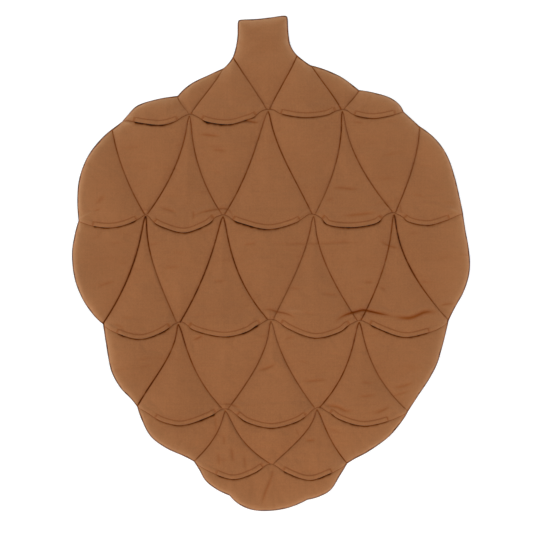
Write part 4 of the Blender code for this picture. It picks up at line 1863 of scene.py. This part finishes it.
@dataclass
class Tier:
    """One tier of front cloth, tucked under the tier above and hemmed in scallops."""

    number: int
    plan: Plan
    relief: Relief
    weave: Weave = field(default_factory=Weave)
    margins: Triple = (0.1, 0.5, 1.0)  # rows, quilting lines and grid keep this far from the hems

    def build(self) -> None:
        """Build the cloth as a closed skin over the wadding."""
        loop = self.plan.tier_loop(self.number)
        filling = self.fill(loop)
        survey = self.relief.survey(filling.points)
        low, high, crevice = self.relief.tier_faces(self.number, survey)
        flat = self.relief.drawn_in(survey) - self.plan.middle
        self.item = make_shell(f"tier_{self.number}_cloth", filling, flat, low, high)
        # painted shade and painted highlight, stored for the material
        paint(self.item, "crevice", np.tile(crevice, 2))
        paint(self.item, "rub", np.tile(self.relief.edge_seam.rub(survey), 2))
        self.cut = cut_size(loop)

    def fill(self, loop: Array) -> Filling:
        """Mesh the tier inside its edge.

        Args:
            loop: the edge.

        Returns:
            The filling.
        """
        def covered(points: Array, margin: float) -> Array:
            """Which points lie between the tier's tucked edge and its hem, by a margin."""
            return self.plan.in_tier(self.number, points, margin)

        def inside(points: Array) -> Array:
            """Which points the tier's cloth covers."""
            return covered(points, row_margin) & self.relief.within_edge(points)

        row_margin, line_margin, grid_margin = self.margins
        edge = Track([closed(loop)])
        lines = []
        for line in self.plan.quilting:
            clear = edge.nearest(line).distance > EDGE_CLEAR
            lines += clip_line(line, covered(line, line_margin) & clear)
        weave, hems = self.weave, list(self.plan.hems.values())
        others = [(closed(self.plan.outline), weave.edge_rows)]
        others += [(hem, weave.hem_rows) for hem in hems[self.number - 1:self.number]]
        if self.number > 1:
            others.append((hems[self.number - 2], weave.lower_rows))
        others += [(line, weave.crease_rows) for line in self.relief.creases.lines
                   if covered(line, 0).any()]
        grid = self.plan.grid[covered(self.plan.grid, grid_margin)]
        return weave.fill(loop, lines, others, grid, inside)

    def dress(self, material: bpy.types.Material) -> None:
        """Give the cloth its finish, hang it on the root body and hide the model's tier.

        Args:
            material: the finish.
        """
        self.item.data.materials.append(material)
        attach(self.item, "root")
        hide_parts(f"tier_{self.number}")


@dataclass
class BackPanel:
    """The back cloth: one panel that lies on the floor and curves up to the edge seam."""

    plan: Plan
    relief: Relief
    cloth: float = 0.7
    turn_up: float = 9.0  # width of its curved edge
    dimple: float = 1.1  # it is drawn up this far under a quilting line
    dimple_reach: float = 5.0
    seam_gap: float = 0.35  # to the front cloth at the edge seam
    # painted shade along a quilting line on the back
    seam_shade: float = 0.7
    seam_width: float = 1.4
    thinnest: float = 0.15
    spacing: float = 6.5
    puckers: Puckers = field(default_factory=lambda: Puckers(6, 0.18, 16.0, 6.0))

    def lower_face(self, survey: Survey) -> Array:
        """Read the panel's lower face.

        Args:
            survey: the points.

        Returns:
            Its height above the floor at each.
        """
        edge = quarter_round(survey.edge.distance / self.turn_up)
        rim = self.relief.rim - self.seam_gap
        dimple = self.dimple * np.exp(-(survey.quilting.distance / self.dimple_reach) ** 1.3)
        pucker = self.puckers.at(survey.quilting, survey.quilting.distance)
        clear = smoothstep(0, SEAM_CLEAR, survey.quilting.distance)
        lifted = dimple + np.maximum(pucker, 0) * clear
        return rim * (1 - edge) + lifted * edge

    def upper_face(self, survey: Survey) -> Array:
        """Height of the panel's upper face above the floor."""
        edge = quarter_round(survey.edge.distance / self.turn_up)
        return self.lower_face(survey) + np.maximum(self.cloth * edge, self.thinnest)

    def build(self) -> None:
        """Build the panel."""
        weave = Weave(spacing=self.spacing, quilt_rows=(2.0, 5.0), edge_rows=(0.4, 1.4, 3.2, 6.0))
        loop = self.plan.outline
        lines = []
        for line in self.plan.quilting:
            lines += clip_line(line, self.relief.edge.nearest(line).distance > EDGE_CLEAR)
        grid = self.plan.field_grid(self.spacing)
        filling = weave.fill(loop, lines, [(closed(loop), weave.edge_rows)],
                             grid[self.relief.within_edge(grid)], self.relief.within_edge)
        survey = self.relief.survey(filling.points)
        flat = self.relief.drawn_in(survey) - self.plan.middle
        self.item = make_shell("back_cloth", filling, flat, self.lower_face(survey),
                               self.upper_face(survey))
        # painted shade along the quilting lines and beside the edge seam
        crevice = self.seam_shade * np.exp(-(survey.quilting.distance / self.seam_width) ** 2)
        crevice = np.maximum(crevice, self.relief.edge_seam.shade(survey))
        paint(self.item, "crevice", np.tile(crevice, 2))
        paint(self.item, "rub", np.tile(self.relief.edge_seam.rub(survey), 2))

    def dress(self, material: bpy.types.Material) -> None:
        """Give the panel its finish, hang it on the root body and hide the model's back panel.

        Args:
            material: the finish.
        """
        self.item.data.materials.append(material)
        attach(self.item, "root")
        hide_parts("back_panel")
        width, length, area = cut_size(self.plan.outline)


@dataclass
class Wadding:
    """The wadding between front and back cloth."""

    plan: Plan
    relief: Relief
    back: BackPanel
    inset: float = 5.0
    spacing: float = 7.0
    clear: float = 0.9  # between the wadding and the cloth on each side
    line_clear: float = 1.5  # its quilting lines end this far from its edge
    edge_reach: float = 5.0
    tuft: Waves = field(default_factory=lambda: Waves(21, 6.0, 16.0, count=30))
    tuft_height: float = 0.35
    tuft_room: Pair = (3.0, 9.0)  # tufts grow from this thickness to this
    thinnest: float = 0.2

    def build(self) -> None:
        """Build the wadding as one closed skin."""
        weave = Weave(spacing=self.spacing, quilt_rows=(2.4, 6.0), edge_rows=(0.6, 1.8, 4.0),
                      hem_rows=(-3.0, 0.0, 6.0))
        loop = self.plan.inset_outline(self.inset, self.plan.step)
        edge = Track([closed(loop)])
        lines = []
        for line in self.plan.quilting:
            near = edge.nearest(line)
            lines += clip_line(line, (near.distance > self.line_clear) & (near.side > 0))
        others = [(closed(loop), weave.edge_rows)]
        others += [(hem, weave.hem_rows) for hem in self.plan.hems.values()]
        grid = self.plan.field_grid(self.spacing)
        filling = weave.fill(loop, lines, others, grid[edge.nearest(grid).side > 0],
                             lambda points: edge.nearest(points).side > 0)
        survey = self.relief.survey(filling.points, fine=False)
        top = self.relief.front_face(survey, False) - self.clear
        bottom = self.back.upper_face(survey) + self.clear
        tufted = self.tuft_height * (self.tuft.at(filling.points) - 1.0)
        tufted *= smoothstep(*self.tuft_room, top - bottom)
        top = np.maximum(top + tufted, bottom + self.thinnest)
        middle = (top + bottom) / 2
        share = quarter_round(edge.nearest(filling.points).distance / self.edge_reach)
        half = np.maximum((top - bottom) / 2 * share, self.thinnest / 2)
        self.item = make_shell("wadding_fleece", filling, filling.points - self.plan.middle,
                               middle - half, middle + half)

    def dress(self, material: bpy.types.Material) -> None:
        """Give the wadding its finish, hang it on the root body and hide the model's wadding.

        Args:
            material: the finish.
        """
        self.item.data.materials.append(material)
        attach(self.item, "root")
        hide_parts("wadding")


@dataclass
class Stitching:
    """Rows of machine stitches, each a short rounded length of thread."""

    name: str
    radius: float = 0.42
    stitch: float = 3.1
    gap: float = 0.6
    sides: int = 5
    bury: float = 0.15  # the thread sinks this far into the cloth
    profile: tuple[Pair, ...] = ((0.0, 0.35), (0.12, 0.85), (0.35, 1.0), (0.65, 1.0),
                                 (0.88, 0.85), (1.0, 0.35))  # how thick it is, along its length

    def spaced(self, line: Array) -> tuple[Array, Array]:
        """Place stitches along a line of the plan.

        Args:
            line: points along the seam.

        Returns:
            The two ends of each stitch on the plan.
        """
        length = np.concatenate([[0.0], np.cumsum(np.hypot(*np.diff(line, axis=0).T))])
        pitch = self.stitch + self.gap
        count = max(1, int(length[-1] / pitch))
        start = (length[-1] - count * pitch + self.gap) / 2 + np.arange(count) * pitch
        ends = []
        for at in (start, start + self.stitch):
            ends.append(np.column_stack([np.interp(at, length, line[:, i]) for i in (0, 1)]))
        return ends[0], ends[1]

    def build(self, first: Array, last: Array, lean: float) -> None:
        """Build the stitches.

        Args:
            first: one end of each stitch, in three dimensions.
            last: the other end.
            lean: how far the ends dip into the cloth.
        """
        along = last - first
        unit = along / np.linalg.norm(along, axis=1)[:, None]
        level = np.cross((0.0, 0.0, 1.0), unit)
        level /= np.linalg.norm(level, axis=1)[:, None]
        up = np.cross(unit, level)
        turns = 2 * math.pi * np.arange(self.sides) / self.sides
        points = []
        for share, width in self.profile:
            dip = lean * (2 * share - 1) ** 2
            centre = first + along * share - up * dip
            for turn in turns:
                points.append(centre + self.radius * width
                              * (level * math.cos(turn) + up * math.sin(turn)))
        count = len(first)
        cloud = np.stack(points, axis=1).reshape(-1, 3)
        rings = len(self.profile)
        per = rings * self.sides
        pattern = []
        for ring in range(rings - 1):
            for i in range(self.sides):
                a = ring * self.sides + i
                b = ring * self.sides + (i + 1) % self.sides
                pattern += [(a, b, b + self.sides), (a, b + self.sides, a + self.sides)]
        last_ring = per - self.sides
        for i in range(1, self.sides - 1):
            pattern.append((0, i + 1, i))
            pattern.append((last_ring, last_ring + i, last_ring + i + 1))
        faces = (np.array(pattern)[None] + (np.arange(count) * per)[:, None, None]).reshape(-1, 3)
        self.item = make_mesh(self.name, cloud, faces)

    def dress(self, material: bpy.types.Material) -> None:
        """Give the thread its finish and hang it on the root body.

        Args:
            material: the finish.
        """
        self.item.data.materials.append(material)
        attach(self.item, "root")


@dataclass
class Seams:
    """All the sewing that shows: quilting on both sides, and topstitching on the hems."""

    plan: Plan
    relief: Relief
    back: BackPanel
    tack_clear: float = 0.25  # share of a hem tick's last part that a tack leaves bare
    dip: float = 0.25  # the ends of a stitch sink this far into the front
    back_dip: float = 0.1  # and this far into the back

    def lay(self, stitching: Stitching, lines: list[Array], front: bool) -> None:
        """Lay stitches along lines.

        Args:
            stitching: the kind of stitch.
            lines: the seams on the plan.
            front: whether they lie on the front or on the back.
        """
        ends = [stitching.spaced(line) for line in lines]
        flat = [np.concatenate([pair[i] for pair in ends]) for i in (0, 1)]
        placed = []
        for points in flat:
            survey = self.relief.survey(points)
            if front:
                height = self.relief.front_face(survey, True) + stitching.radius - stitching.bury
            else:
                height = self.back.lower_face(survey) - stitching.radius + stitching.bury
            placed.append(np.column_stack([points - self.plan.middle, height]))
        stitching.build(placed[0], placed[1], self.dip if front else -self.back_dip)

    def tacked(self, row: str, run: Array) -> Array:
        """Turn a run of topstitching down across the hem at both of its ends.

        Args:
            row: the letter of the row.
            run: points along the topstitching.

        Returns:
            The longer run.
        """
        ends = run[[0, -1]]
        feet = self.relief.hem_tracks[row].nearest(ends).foot
        low = feet + self.tack_clear * (ends - feet)
        return np.concatenate([low[:1], run, low[1:]])

    def build(self) -> list[Stitching]:
        """Sew the mat.

        Returns:
            The three kinds of stitching.
        """
        quilting = Stitching("quilting_thread")
        self.lay(quilting, self.plan.quilting, True)
        hems = Stitching("hem_thread", radius=0.36, stitch=2.9, gap=0.5)
        self.lay(hems, [self.tacked(row, run) for row, runs in self.plan.topstitches.items()
                        for run in runs], True)
        back = Stitching("back_thread", radius=0.38, sides=4)
        self.lay(back, self.plan.quilting, False)
        return [quilting, hems, back]


@dataclass
class Studio:
    """A pale floor, soft light and a camera that looks straight down."""

    centre: Pair = (-0.0024, -0.0162)  # what the middle of the picture shows
    frame_width: float = 1.3052  # metres across the picture
    rim_height: float = 0.0027  # where that width is measured
    lens: float = 200.0
    sensor: float = 36.0
    floor_size: float = 30.0
    floor_drop: float = 0.0005
    brightness: float = 0.875
    room: float = 0.122  # light from all round

    def build(self, floor: bpy.types.Material) -> None:
        """Set up the floor, the lights, the world and the camera.

        Args:
            floor: the floor's finish.
        """
        self.lay_floor(floor)
        self.hang_light("left_strip", (-2.4, 0.0, 0.63), (0.63, 3.3), 77.0)
        self.hang_light("right_strip", (1.9, 0.0, 0.5), (0.5, 2.6), 32.0)
        self.hang_light("top_strip", (0.0, 1.8, 0.7), (1.6, 0.5), 21.0, COOL)
        self.hang_light("bottom_strip", (0.0, -1.8, 0.7), (1.6, 0.5), 20.0, WARM)
        self.hang_light("right_overhead", (1.0, -0.3, 2.0), (1.0, 1.0), 10.0)
        self.hang_light("left_overhead", (-1.0, -0.3, 1.8), (1.0, 1.0), 3.0)
        world = bpy.data.worlds.new("soft_room")
        world.use_nodes = True
        background = world.node_tree.nodes["Background"]
        background.inputs["Color"].default_value = WHITE
        background.inputs["Strength"].default_value = self.room
        bpy.context.scene.world = world
        bpy.context.scene.view_settings.view_transform = "Standard"
        self.set_camera()

    def lay_floor(self, material: bpy.types.Material) -> None:
        """Lay a plain floor just under the mat.

        Args:
            material: its finish.
        """
        half, low = self.floor_size / MM / 2, -self.floor_drop / MM
        corners = [(-half, -half, low), (half, -half, low), (half, half, low), (-half, half, low)]
        floor = make_mesh("floor", np.array(corners), np.array([(0, 1, 2, 3)]))
        floor.data.materials.append(material)

    def hang_light(self, name: str, place: Triple, size: Pair, power: float,
                   colour: Triple = WHITE[:3]) -> None:
        """Hang a soft light that faces the mat.

        Args:
            name: its name.
            place: where it hangs.
            size: its width and its length; the length runs along Y.
            power: its power in watts.
            colour: the colour of its light.
        """
        lamp = bpy.data.lights.new(name, "AREA")
        lamp.color = colour
        lamp.shape = "RECTANGLE"
        lamp.size, lamp.size_y = size
        lamp.energy = power * self.brightness
        item = place_in_scene(name, lamp)
        item.location = place
        item.rotation_euler = (-Vector(place)).to_track_quat("-Z", "Y").to_euler()

    def set_camera(self) -> None:
        """Hang the camera over the mat at the distance that gives the picture's width."""
        lens = bpy.data.cameras.new("camera")
        lens.lens = self.lens
        lens.sensor_width = self.sensor
        camera = place_in_scene("camera", lens)
        distance = self.frame_width * self.lens / self.sensor
        camera.location = (*self.centre, self.rim_height + distance)
        bpy.context.scene.camera = camera


def report(item: bpy.types.Object) -> None:
    """Log how many faces a piece has."""
    log.info("%s has %d faces", item.name, len(item.data.polygons))


def main() -> None:
    """Build and dress every piece, then set up the studio."""
    logging.basicConfig(level=logging.INFO, format="%(name)s: %(message)s")
    plan = Plan()
    relief = Relief(plan)
    relief.settled = Settling(plan, relief).settle()
    plan.grid = plan.field_grid(Weave().spacing)
    plan.grid = plan.grid[relief.within_edge(plan.grid)]
    front_cotton = Cotton("front_cotton").material()
    back_cotton = Cotton("back_cotton").material()
    thread = SewingThread("brown_thread").material()
    back = BackPanel(plan, relief)
    wadding = Wadding(plan, relief, back)
    back.build()
    wadding.build()
    back.dress(back_cotton)
    wadding.dress(Fleece("white_fleece").material())
    report(back.item)
    report(wadding.item)
    for number in range(1, len(HEMS) + 2):
        tier = Tier(number, plan, relief)
        tier.build()
        tier.dress(front_cotton)
        report(tier.item)
    for stitching in Seams(plan, relief, back).build():
        stitching.dress(thread)
        report(stitching.item)
    Studio().build(PaleFloor().material())


if __name__ == "__main__":
    main()
